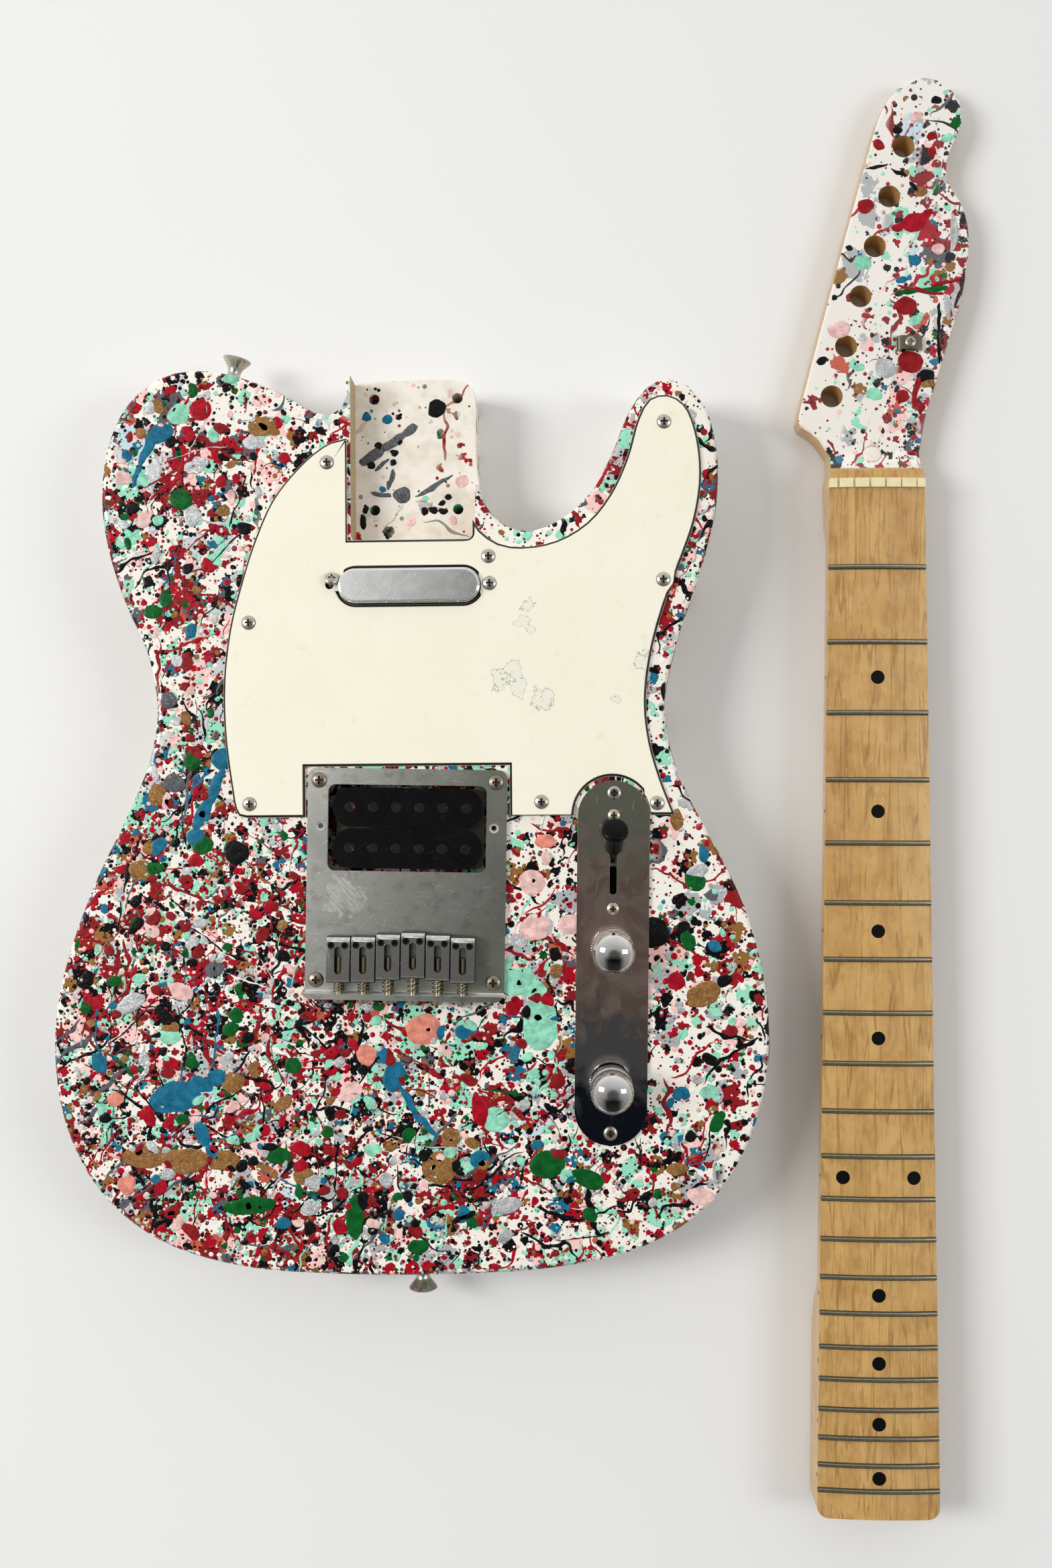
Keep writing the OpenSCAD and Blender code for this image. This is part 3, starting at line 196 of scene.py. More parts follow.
def floor_finish():
    material, place = new_finish("table_top")
    shade = place.noise(320, 1).tinted(srgb(236, 236, 234), srgb(231, 231, 230))
    grain = place.noise(1.5, 1)
    return settle(material, shade, 0.75 + grain * 0.1, height=grain, depth=0.02)


bpy.ops.object.select_all(action="DESELECT")
bpy.ops.mesh.primitive_plane_add(size=8, location=(0, 0, -0.0003))
floor = bpy.context.object
floor.name = "table"
floor.data.materials.append(floor_finish())


def lamp(name, place, size, watts, colour):
    light = bpy.data.lights.new(name, "AREA")
    light.shape = "RECTANGLE"
    light.size, light.size_y = size
    light.energy = watts
    light.color = colour
    holder = placed(name, light)
    holder.location = place
    towards = Vector((0.05, -0.12, 0)) - Vector(place)
    holder.rotation_euler = towards.to_track_quat("-Z", "Y").to_euler()


lamp("lamp_left", (-1.55, 0.2, 1.7), (0.6, 1.0), 31, (1.0, 0.99, 0.97))
lamp("lamp_right", (1.6, -0.1, 1.6), (0.5, 0.9), 9, (0.98, 0.99, 1.0))

# An even grey room with one dark patch of ceiling over the table, brighter to the north
room = bpy.data.worlds.new("room")
room.use_nodes = True
sky = room.node_tree.nodes["Background"]
east, north, up = Value(room.node_tree).node("TexCoord", output="Generated").axes()
patch = away(east, north, 0.05, -0.2).above(0.36, 0.2)
level = (patch * 0.33 + 0.12 + (1 - up) * 0.26) * (1 + north * 0.75)
room.node_tree.links.new(level.socket, sky.inputs["Color"])
bpy.context.scene.world = room

# ---- Body ----
# A slab of solid wood with rounded edges, lacquered cream and then splashed with
# coat over coat of thrown enamel paints.  The neck pocket is bare wood at its walls.


def pick(*objects):
    """Selects these objects alone, the first of them active; with none, selects nothing."""
    bpy.ops.object.select_all(action="DESELECT")
    for o in objects:
        o.select_set(True)
    if objects:
        bpy.context.view_layer.objects.active = objects[0]


@contextmanager
def editing():
    """Edit mode with everything selected."""
    bpy.ops.object.mode_set(mode="EDIT")
    bpy.ops.mesh.select_all(action="SELECT")
    yield
    bpy.ops.object.mode_set(mode="OBJECT")


def circle(points, radius, filled=True, **place):
    """A flat disc or ring, from which a piece is drawn out."""
    pick()
    bpy.ops.mesh.primitive_circle_add(vertices=points, radius=radius,
                                      fill_type="NGON" if filled else "NOTHING", **place)
    bpy.ops.object.transform_apply(location=True, rotation=True, scale=True)
    return bpy.context.object


def extruded(step, scale, about=(0, 0, 0)):
    """Extrudes what is selected by a step in metres, and scales its new end."""
    bpy.ops.mesh.extrude_region_move(TRANSFORM_OT_translate={"value": step})
    bpy.ops.transform.resize(value=scale, center_override=about)


def faces_turned_out():
    bpy.ops.mesh.select_all(action="SELECT")
    bpy.ops.mesh.normals_make_consistent(inside=False)


def merged_copy(node, name):
    """A copy of a CAD part with its loose triangles joined, ready to be finished."""
    piece = placed(name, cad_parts[node].data.copy())
    pick(piece)
    bpy.ops.mesh.customdata_custom_splitnormals_clear()
    with editing():
        bpy.ops.mesh.remove_doubles(threshold=0.000002)
    return piece


def flat_faces_joined(piece):
    pick(piece)
    with editing():
        bpy.ops.mesh.dissolve_limited(angle_limit=radians(0.5))


def edges_eased(piece, width, rounds=2, sharper_than=40):
    """Rounds every edge sharper than an angle, by a width in millimetres."""
    pick(piece)
    ease = piece.modifiers.new("ease", "BEVEL")
    ease.width = width / 1000
    ease.segments = rounds
    ease.limit_method = "ANGLE"
    ease.angle_limit = radians(sharper_than)
    bpy.ops.object.modifier_apply(modifier="ease")


def painted(piece, material):
    piece.data.materials.clear()
    piece.data.materials.append(material)


def smoothed(piece, degrees=35):
    """Smooth shading that leaves broad flat faces flat."""
    pick(piece)
    bpy.ops.object.shade_smooth_by_angle(angle=radians(degrees))
    even = piece.modifiers.new("even", "WEIGHTED_NORMAL")
    even.keep_sharp = True
    bpy.ops.object.modifier_apply(modifier="even")


def stands_for(piece, body, slot, *nodes):
    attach(piece, body)
    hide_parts(*nodes)


# Heights of the body's flat top and of the neck pocket's floor, in millimetres
BODY_TOP = 44.5
POCKET_FLOOR = 28.5

CREAM = srgb(245, 241, 232)
BRICK = srgb(140, 28, 32)
CRIMSON = srgb(170, 12, 34)
BLACK = srgb(16, 15, 17)
MINT = srgb(150, 222, 192)
PINK = srgb(246, 200, 194)
TEAL = srgb(28, 110, 142)
SILVER = srgb(192, 194, 195)
BRONZE = srgb(150, 106, 56)
GREEN = srgb(10, 92, 36)
TERRACOTTA = srgb(196, 92, 72)
SLATE = srgb(92, 94, 100)
SKY = srgb(196, 218, 228)
WHITE = srgb(246, 243, 234)

# How metallic and how rough each paint dries
DRY = {SILVER: (0.5, 0.42), BRONZE: (0.35, 0.55), SLATE: (0.1, 0.5), GREEN: (0, 0.14),
       TEAL: (0, 0.16), BLACK: (0, 0.14), MINT: (0, 0.3), CREAM: (0, 0.28)}

# Coats from the first to the last: the spacing of the drops in millimetres, their
# largest radius as a share of it, how many fall, their thickness and their paints
COATS = [
    (18.0, 0.52, 0.80, 0.25,
     [(0.0, PINK), (0.2, SILVER), (0.42, BRICK), (0.62, SLATE), (0.72, MINT), (0.9, SKY)]),
    (13.0, 0.50, 0.74, 0.3,
     [(0.0, BRONZE), (0.12, BLACK), (0.3, SILVER), (0.52, CRIMSON), (0.76, PINK), (0.9, MINT)]),
    (10.0, 0.50, 0.72, 0.35,
     [(0.0, BRICK), (0.3, MINT), (0.42, SILVER), (0.56, TEAL), (0.66, BLACK), (0.92, TERRACOTTA)]),
    (8.0, 0.47, 0.66, 0.4,
     [(0.0, CRIMSON), (0.26, BLACK), (0.46, PINK), (0.62, SLATE), (0.7, MINT), (0.86, BRONZE)]),
    (5.6, 0.46, 0.72, 0.35,
     [(0.0, BRICK), (0.28, BLACK), (0.52, MINT), (0.64, TEAL), (0.74, SILVER), (0.88, GREEN)]),
    (3.8, 0.44, 0.70, 0.3,
     [(0.0, BLACK), (0.3, CRIMSON), (0.52, PINK), (0.66, WHITE), (0.76, MINT), (0.9, BRONZE)]),
    (2.7, 0.42, 0.62, 0.2,
     [(0.0, BRICK), (0.32, BLACK), (0.66, PINK), (0.78, MINT), (0.88, SLATE)]),
    (1.8, 0.38, 0.42, 0.12,
     [(0.0, BLACK), (0.45, BRICK), (0.85, WHITE)]),
]

# Strings of paint: direction in degrees, length and spacing in millimetres, how many
# there are, and their paints
STRINGS = [
    (22, 50.0, 3.6, 0.26, [(0.0, BLACK), (0.45, BRICK), (0.85, WHITE)]),
    (83, 44.0, 4.0, 0.28, [(0.0, BRICK), (0.4, BLACK), (0.75, SILVER)]),
    (-38, 56.0, 3.2, 0.26, [(0.0, CRIMSON), (0.4, SLATE), (0.65, BLACK)]),
    (-68, 36.0, 2.4, 0.22, [(0.0, BLACK), (0.5, CRIMSON), (0.8, MINT)]),
]


def bent_about(place, size, reach):
    """The place pulled about, so that round drops and straight strings come out uneven."""
    pull = place.node("TexNoise", {"noise_dimensions": "2D"},
                      {"Vector": place, "Scale": 1 / size, "Detail": 2.0, "Roughness": 0.6}, 1)
    return pull.vector("SUBTRACT", (0.5, 0.5, 0.5)).vector("MULTIPLY_ADD", (reach,) * 3, place)


def cells(place, spots):
    """Distance to the nearest of many strewn points, and three random values of that point."""
    distance = place.node("TexVoronoi", {"voronoi_dimensions": "2D"}, spots)
    colour = Value(place.tree, distance.socket.node.outputs["Color"])
    lot = place.node("SeparateColor", None, {0: colour})
    return distance, *(Value(place.tree, s) for s in lot.socket.node.outputs)


def splashed(place, cover, ground):
    """The thrown paint over a ground colour: its colour, metal, roughness and height."""
    uneven = {18.0: bent_about(place, 6.0, 11.0), 8.0: bent_about(place, 3.0, 3.4), 3.8: place}
    swung = bent_about(place, 21.0, 16.0)
    colour, metal_rough, height = ground, (0.0, 0.22, 0.0), 0.0

    def laid(mask, edge, which, thick, paints):
        nonlocal colour, metal_rough, height
        stops = {"blend_between_stops": "CONSTANT"}
        tint = which.node("ValToRGB", {**stops, "stops": paints}, {0: which})
        dry = which.node("ValToRGB", {**stops, "stops": [
            (start, (*DRY.get(paint, (0, 0.28)), 0)) for start, paint in paints]}, {0: which})
        colour = mask.tinted(colour, tint)
        metal_rough = mask.tinted(metal_rough, dry)
        height = edge * thick + height

    for k, (cell, reach, many, thick, paints) in enumerate(COATS):
        from_place = next(bent for largest, bent in reversed(uneven.items()) if cell <= largest)
        shifted = from_place.moved(37.0 * k + 11, 53.0 * k + 5)
        distance, red, green, blue = cells(place, {"Vector": shifted, "Scale": 1 / cell})
        inside = ((red * 0.75 + 0.25) * reach - distance) * cell
        falls = (cover * many - blue).above(0, 0.02)
        laid(inside.above(0.06, 0.12) * falls, inside.above(0.35, 0.7) * falls, green, thick, paints)
    for k, (turn, length, gap, many, paints) in enumerate(STRINGS):
        drawn = swung.moved(91.0 * k, 17.0 * k).stretched(1 / length, 1 / gap, 1, turn)
        distance, red, green, blue = cells(place, {"Vector": drawn, "Scale": 1.0})
        inside = ((red * 0.7 + 0.3) * 0.3 - distance) * gap
        falls = (cover * many - blue).above(0, 0.02)
        laid(inside.above(0.05, 0.1) * falls, inside.above(0.25, 0.5) * falls, green, 0.25, paints)
    metal = metal_rough.node("SeparateColor", None, {0: metal_rough})
    rough = Value(place.tree, metal.socket.node.outputs[1])
    return colour, metal, rough, height


def body_finish():
    material, place = new_finish("splashed_lacquer")
    x, y, z = place.axes()
    nx, ny, nz = place.facing()
    side = 1 - nz.math("ABSOLUTE").above(0.45, 0.02)
    endways = (ny.math("ABSOLUTE") - nx.math("ABSOLUTE")).above(0, 0.001)
    # The sides are painted over their own height and length, the faces from above
    along = endways * x + (1 - endways) * y
    flat = place.node("CombineXYZ", None, {0: x + nz.above(0, 0.01) * 400, 1: y})
    upright = place.node("CombineXYZ", None, {0: along + 900, 1: z})
    where = place.node("Mix", {"data_type": "VECTOR"}, {0: side, 4: flat, 5: upright}, 1)
    front = nz.above(0.0, 0.1)
    cover = (0.78 - x / 420 - (y + 150) / 700).least(1.05) * (0.35 + 0.65 * front)
    # The upper horn and the waist beside it caught a second helping
    cover = cover + x.above(80, 40) * y.above(-70, 60) * front * 0.4
    cover = cover * (0.75 + 0.5 * where.noise(42, 1, flat=True))
    floor_area = nz.above(0.5, 0.1) * z.between(POCKET_FLOOR - 0.5, POCKET_FLOOR + 0.5, 0.1)
    cover = cover * (1 - floor_area * 0.86)
    ground = place.noise(60, 2).tinted(CREAM, srgb(238, 231, 218))
    colour, metal, rough, height = splashed(where, cover, ground)
    # Raw wood at the walls of the neck pocket, dirty where the neck sat
    wall = (side * x.between(-28.5, 32.2, 0.1) * y.between(-0.6, 76.5, 0.1)
            * z.between(POCKET_FLOOR - 0.1, BODY_TOP - 0.05, 0.02)
            * (1 - nx.above(0.5, 0.01) * x.above(20, 0.1)))
    grain = place.stretched(0.12, 1, 1).noise(1.2, 3).tinted(srgb(206, 190, 160), srgb(170, 142, 102))
    colour = wall.tinted(colour, grain)
    dirt = place.noise(9, 4, 0.65).above(0.55, 0.2) * floor_area * 0.5
    colour = dirt.tinted(colour, srgb(212, 200, 176))
    rough = rough * (1 - wall) + wall * 0.7 + place.noise(25, 2) * 0.08
    return settle(material, colour, rough, metal, height, 0.8,
                  Specular_IOR_Level=0.1, Coat_Weight=0.04, Coat_Roughness=0.08)


body = merged_copy("body", "splashed_body")
smoothed(body, 28)
painted(body, body_finish())
stands_for(body, "guitar", "painted_wood", "body")

# ---- Largest drops of paint ----
# Where a whole splash or drip fell, the enamel stands up from the lacquer as a glossy
# blob.  Each paint's drops are one piece, a few tenths of a millimetre thick.

# One drop of each row: middle x, y, half width, half length, and its turn in degrees if any
BODY_DROPS = {
    "teal": (TEAL, [
        (-113, 50, 6, 4.5, 20), (-119, 43, 2.2, 9, -30), (-124, 31, 1.4, 6, -20),
        (-108, -247, 12, 7, 10), (-96, -241, 6, 3, -20), (-89, -238, 4.5, 3.5),
        (-10, -238, 5, 7, -15), (-3, -250, 1.6, 9, 25), (5, -260, 1.5, 7, 40),
        (28, -275, 5, 4, 20), (-86, -96, 5, 4.5, 10), (-89, -108, 2.6, 10, -20),
        (-95, -121, 3, 8, -28), (-98, -131, 4, 4), (-96, -263, 3, 6, 20), (-91, -272, 2.4, 5, 30),
        (21, -218, 4, 3.6), (-15, -229, 4, 3.6), (117, -246, 4, 3, 20), (128, -140, 2.2, 4, 10),
        (-142, -232, 3, 5, 30), (-60, -303, 4, 3, 10)]),
    "green": (GREEN, [
        (-104, 20, 5.5, 5), (-117, -30, 4, 3.4, 30), (-100, -97, 4, 4), (-118, -145, 3.4, 3),
        (-95, -135, 5, 4, 20), (58, -277, 8, 6, 10), (75, -283, 8, 4, -20), (-62, -273, 6, 4),
        (-28, -300, 4, 10), (-75, -295, 12, 4, 5), (-83, -217, 4, 3, 20), (-55, -233, 4, 3.5),
        (0, -313, 5, 3), (124, -152, 5, 4.6), (120, -178, 3, 5, 20), (133, -258, 5, 3, 60),
        (-135, -195, 3.5, 3), (-40, -262, 3, 3)]),
    "bronze": (BRONZE, [
        (-67, 52, 7, 4, 10), (-115, -112, 4, 5), (-122, -273, 10, 6), (-104, -275, 11, 6, 5),
        (-87, -275, 8, 5, -5), (10, -278, 8, 8), (15, -265, 4, 5), (-82, -240, 5, 4.6),
        (127, -202, 8, 5, 20), (115, -279, 5, 3), (116, -125, 3, 5), (-123, -146, 5.5, 5),
        (-60, -250, 5, 3, 40)]),
    "silver": (SILVER, [
        (-97, 35, 6, 4, 20), (-71, 45, 5, 3), (-99, 13, 4, 5), (125, -148, 5, 3.4, 30),
        (-128, -205, 7, 4, 30), (-45, -285, 6, 3.6, -20), (40, -295, 7, 3.4, 15),
        (-100, -180, 5, 3, 60)]),
    "mint": (MINT, [
        (-105, 58, 5, 4.6), (-82, 74, 4, 2), (45, -196, 8, 6, 15), (52, -199, 4, 7, 60),
        (55, -215, 8, 12), (35, -257, 6, 5.4), (40, -189, 2, 5, -30), (-110, -220, 5, 4),
        (-20, -270, 4, 3), (-70, -262, 4, 3, 30)]),
    "salmon": (srgb(232, 146, 126), [
        (58, -134, 4.5, 3.2), (3, -217, 8, 7), (-22, -228, 5, 4.6), (-130, -286, 4, 4),
        (-135, -248, 4, 3, 20)]),
    "pink": (PINK, [
        (52, -152, 6, 5.4), (53, -172, 7, 6, 20), (68, -171, 5, 4.6), (125, -291, 6, 4),
        (-130, 30, 4, 3.4), (-30, -245, 6, 4, 20), (-105, -200, 6, 4, -30)]),
    "black": (BLACK, [
        (105, -175, 8, 7), (-80, -138, 6, 5.4), (-112, -212, 3, 7, 40), (-48, -305, 3, 3),
        (20, -300, 6, 2, 20), (-125, -170, 2.4, 5, -40)]),
    "crimson": (CRIMSON, [
        (-95, 60, 5, 4.6), (43, -208, 3.5, 3.4), (28, -253, 4, 7, 10), (115, -196, 4, 4),
        (-110, -232, 4, 3), (-52, -270, 5, 3, -20), (-120, -255, 3, 5, 20)]),
    "slate": (SLATE, [(-108, -107, 5, 4.6), (-110, -70, 4, 3.4), (-90, -190, 5, 3.4, 20)]),
}
POCKET_DROPS = {
    "pocket_grey": (SLATE, [
        (-20, 42, 7, 2.4, 34), (-10, 49, 7, 2.2, 34), (-3, 54, 4, 2, 34), (-11.5, 31, 1, 5, -15),
        (-16, 24.5, 5, 1, -10), (-16, 38, 1, 4, -50), (8, 28, 1, 10, -60), (-6.5, 24, 4, 3.8)]),
    "pocket_black": (BLACK, [
        (9.5, 63.5, 4.2, 4.2), (-17, 46.5, 2, 2), (-10.5, 44, 1.6, 1.6), (-11, 39, 1.6, 1.6),
        (-20.5, 38, 1.7, 1.7), (-7.5, 48.5, 1.3, 1.3), (4, 16, 2, 1.8), (8, 17, 2, 2),
        (12, 16.5, 2, 1.6), (11.5, 20.5, 1.6, 1.6), (14.5, 23, 1.4, 1.4), (-24.6, 12, 1.6, 4),
        (-23.4, 18, 1.2, 2)]),
    "pocket_pink": (PINK, [(21, 30, 3, 3), (-3, 12, 2.4, 2), (17, 12, 2, 2.4)]),
    "pocket_colours": (TEAL, [(-13, 59, 2.4, 2), (-23, 60, 2, 2.4), (-15.5, 27, 1.6, 1.4)]),
}


def drop_finish(name, colour):
    material, place = new_finish("drop_" + name)
    metal, rough = DRY.get(colour, (0, 0.2))
    cloud = place.noise(3.5, 3)
    dark = tuple(v * 0.6 for v in colour)
    light = tuple(min(1.0, v * 1.15 + 0.003) for v in colour)
    wrinkles = place.noise(1.5, 3, 0.6, twist=1.2)
    shade = cloud.above(0.48, 0.4).tinted(dark, light)
    shade = (wrinkles.above(0.57, 0.08) * 0.45).tinted(shade, dark)
    glitter = place.noise(0.5, 1).above(0.64, 0.06) * (0.75 if metal else 0.05)
    shade = glitter.tinted(shade, tuple(min(1.0, v * 1.5 + 0.2) for v in colour))
    return settle(material, shade, rough + cloud * 0.1, metal, wrinkles, 0.4 if metal else 0.22,
                  Specular_IOR_Level=0.1, Coat_Weight=0.06, Coat_Roughness=0.06)


def rounded_drop():
    """A low dome 2 mm across, from which every drop is copied."""
    drop = circle(22, 0.001)
    with editing():
        for rise, share in ((0.00018, 0.96), (0.00012, 0.84), (0.00005, 0.6)):
            extruded((0, 0, rise), (share, share, 1))
        faces_turned_out()
    return drop


def wavy(piece, size, reach):
    """Pulls a flat piece's outline about sideways, by a reach in millimetres."""
    pick(piece)
    for k, direction in enumerate("XY"):
        field = bpy.data.textures.new("field", "CLOUDS")
        field.noise_scale = size * (1 + 0.3 * k) / 1000
        wave = piece.modifiers.new("wave", "DISPLACE")
        wave.texture = field
        wave.direction = direction
        wave.strength = reach / 1000
        wave.texture_coords = "LOCAL"
        bpy.ops.object.modifier_apply(modifier=wave.name)


def scattered(master, name, colour, top, rows, frame_of_row=Matrix.Identity(4), sway=0.0):
    """Copies of a drop or string at every row, sunk a little into the face at top, in mm."""
    copies = []
    for x, y, wide, long, *turn in rows:
        copy = placed(name, master.data.copy())
        copy.data.transform(frame_of_row @ Matrix.Translation((x / 1000, y / 1000, (top - 0.03) / 1000))
                            @ Matrix.Rotation(radians(sum(turn)), 4, "Z")
                            @ Matrix.Diagonal((wide, long, 1, 1)))
        copies.append(copy)
    pick(*copies)
    if len(copies) > 1:
        bpy.ops.object.join()
    piece = bpy.context.view_layer.objects.active
    piece.name = name
    if sway:
        wavy(piece, 17.0, sway)
    else:
        wavy(piece, 5.0, 2.6)
    wavy(piece, 1.7, 0.7)
    smoothed(piece, 60)
    painted(piece, drop_finish(name, colour))
    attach(piece, "guitar")


drop = rounded_drop()
for drops, top in ((BODY_DROPS, BODY_TOP), (POCKET_DROPS, POCKET_FLOOR)):
    for paint, (colour, rows) in drops.items():
        scattered(drop, "drops_" + paint, colour, top, rows)

# ---- Small drops and strings of paint ----
# Hundreds of smaller splashes fell where they fell, and the paint that was swung off
# the brush landed in thin strings.  They stand up from the lacquer like the large drops.

# How wide a string is at each step along it, as a share of its usual width
STRING_SHARES = (0.3, 0.8, 1.5, 1.9, 1.7, 1.1, 0.8, 0.7, 0.8, 1.0, 0.9, 0.7, 0.6, 0.7, 0.9, 0.8,
                 0.6, 0.5, 0.55, 0.8, 0.9, 0.6, 0.4, 0.2)
# Name, paint and how many fell
SMALL_DROPS = [("brick", BRICK, 90), ("crimson", CRIMSON, 60), ("black", BLACK, 90),
               ("mint", MINT, 50), ("pink", PINK, 44), ("silver", SILVER, 64),
               ("teal", TEAL, 34), ("bronze", BRONZE, 40), ("green", GREEN, 34)]
THROWN_STRINGS = [("black", BLACK, 44), ("brick", BRICK, 40), ("crimson", CRIMSON, 22),
                  ("slate", SLATE, 14), ("silver", SILVER, 14), ("teal", TEAL, 12), ("green", GREEN, 8)]


def surface(node):
    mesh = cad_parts[node].data
    return BVHTree.FromPolygons([v.co for v in mesh.vertices], [f.vertices[:] for f in mesh.polygons])


body_surface = surface("body")
covering = [surface(node) for node in ("pickguard", "bridge_plate", "control_plate", "strap_buttons")]


def on_open_paint(x, y):
    """True where a point in millimetres is on the body's flat top with nothing over it."""
    above, down = Vector((x / 1000, y / 1000, 0.2)), Vector((0, 0, -1))
    spot = body_surface.ray_cast(above, down)[0]
    return (spot is not None and spot.z > (BODY_TOP - 0.05) / 1000
            and all(cover.ray_cast(above, down)[0] is None for cover in covering))


def fallen(chance, how_many, largest, longest):
    """Rows of drops or strings at places that leave them room on the open paint."""
    rows = []
    while len(rows) < how_many:
        x, y = chance.uniform(-156, 156), chance.uniform(-318, 76)
        # More fell to the left and towards the tail
        if chance.random() > 0.75 - x / 330 - (y + 150) / 800:
            continue
        wide = largest * chance.uniform(0.3, 1) ** 1.6
        long = chance.uniform(0.35, 1) * longest if longest else wide * chance.uniform(0.75, 1.6)
        turn = chance.uniform(0, 180)
        room = long + 4.5 if longest else 1.2 * long + 1.5
        side = 5.0 if longest else 1.5 + wide
        along = Vector((-sin(radians(turn)), cos(radians(turn))))
        across = Vector((along.y, -along.x))
        spots = [Vector((x, y)) + along * a * room + across * b * side
                 for a in (-1, -0.5, 0, 0.5, 1) for b in (-1, 0, 1)]
        if all(on_open_paint(*spot) for spot in spots):
            rows.append((x, y, wide, long, turn))
    return rows


def thin_string():
    """A string 2 mm long and about 2 mm wide, lying along y, from which all are copied."""
    string = circle(6, 0.001 * STRING_SHARES[0], location=(0, -0.001, 0), rotation=(pi / 2, 0, 0))
    step = 0.002 / (len(STRING_SHARES) - 1)
    with editing():
        for before, share in zip(STRING_SHARES, STRING_SHARES[1:]):
            wider = share / before
            extruded((0, step, 0), (wider, 1, wider))
        faces_turned_out()
    string.data.transform(Matrix.Diagonal((1, 1, 0.22, 1)))
    return string


for k, (paint, colour, how_many) in enumerate(SMALL_DROPS):
    rows = fallen(random.Random(40 + k), how_many, 3.3, 0)
    scattered(drop, "small_drops_" + paint, colour, BODY_TOP, rows)
string = thin_string()
for k, (paint, colour, how_many) in enumerate(THROWN_STRINGS):
    rows = fallen(random.Random(70 + k), how_many, 0.95, 17)
    scattered(string, "strings_" + paint, colour, BODY_TOP, rows, sway=7.0)
bpy.data.objects.remove(string)

# ---- Pickguard ----
# Three-ply laminate, cream over black over cream, its edge cut at a slant so that the
# black shows as a line.  The horn is scratched and peeled.

GUARD_TOP = 46.7
# The torn places: middle x and y and how far they reach, in millimetres
PEELED = [(51, -30, 4), (48, -36, 4), (52, -40, 3), (38, -62, 6), (44, -58, 6), (46, -66, 5),
          (57, -71, 6), (102, -55, 6), (104, -62, 4), (119, -12, 3), (90, -71, 3), (110, -38, 3)]


def guard_finish():
    material, place = new_finish("three_ply_laminate")
    x, y, z = place.axes()
    cream = place.noise(38, 3).tinted(srgb(248, 244, 226), srgb(241, 236, 214))
    stain = place.noise(7, 4, 0.7).above(0.68, 0.16) * 0.25
    cream = stain.tinted(cream, srgb(214, 202, 170))
    black = z.between(GUARD_TOP - 1.2, GUARD_TOP - 0.2, 0.06)
    # Fine scuffs all over, and flakes on the horn where something stuck on it tore off
    fine = place.hairs(0.5, 0.70, 0.04, 24)
    fine2 = place.stretched(0.05, 1, 1, -18).noise(0.6, 2).above(0.72, 0.04)
    ragged = place.noise(5.0, 4, 0.6)
    whole = None
    for px, py, reach in PEELED:
        near = away(x, y, px, py) * (-1 / reach) + 1
        whole = near if whole is None else whole.most(near)
    level = whole.most(-0.6) * 0.34 + ragged
    flake = level.above(0.62, 0.01)
    rim = level.between(0.606, 0.632, 0.008)
    crumbs = place.noise(1.6, 3, 0.7).above(0.66, 0.03) * level.above(0.6, 0.1)
    scuff = (fine + fine2).least(1.0)
    colour = (scuff * 0.15).tinted(cream, srgb(196, 186, 160))
    colour = (flake * 0.55).tinted(colour, srgb(226, 226, 214))
    colour = (rim * 0.7).tinted(colour, srgb(134, 126, 104))
    colour = (crumbs * 0.5).tinted(colour, srgb(150, 142, 118))
    colour = black.tinted(colour, srgb(22, 20, 20))
    height = place.noise(60, 1) * 0.6 - flake * 0.3 - scuff * 0.12
    return settle(material, colour, 0.3 + scuff * 0.15 + flake * 0.3, 0.0, height, 0.12)


def edges_on_level(piece, level, away_from, clear):
    """Selects the sharp edges of a piece on a level, none within a distance of the
    points given.  All are in millimetres."""
    pick(piece)
    bpy.ops.object.mode_set(mode="EDIT")
    bpy.ops.mesh.select_all(action="DESELECT")
    bpy.ops.mesh.select_mode(type="EDGE")
    bpy.ops.mesh.edges_select_sharp(sharpness=radians(50))
    bpy.ops.object.mode_set(mode="OBJECT")
    mesh = piece.data
    for edge in mesh.edges:
        ends = [mesh.vertices[v].co * 1000 for v in edge.vertices]
        level_ok = all(abs(e.z - level) < 0.02 for e in ends)
        clear_ok = all((e.xy - Vector(p)).length > clear for e in ends for p in away_from)
        edge.select = edge.select and level_ok and clear_ok
    for vertex in mesh.vertices:
        vertex.select = False
    for face in mesh.polygons:
        face.select = False
    bpy.ops.object.mode_set(mode="EDIT")


# The holes for its own screws and for the neck pickup's, whose edges stay sharp
GUARD_HOLES = [(-38, 35.2), (33.6, -7.4), (111.8, 51.2), (-73.4, -35.8), (110.9, -18.6),
               (-73.4, -116.5), (56.3, -116.5), (107.4, -117.4),
               (-37.2, -19.4), (34, -19.4), (-36, -17)]
guard = merged_copy("pickguard", "three_ply_pickguard")
flat_faces_joined(guard)
edges_on_level(guard, GUARD_TOP, GUARD_HOLES, 5.5)
bpy.ops.mesh.bevel(offset=0.0013, segments=1, clamp_overlap=False)
bpy.ops.object.mode_set(mode="OBJECT")
smoothed(guard, 30)
painted(guard, guard_finish())
stands_for(guard, "guitar", "laminate", "pickguard")
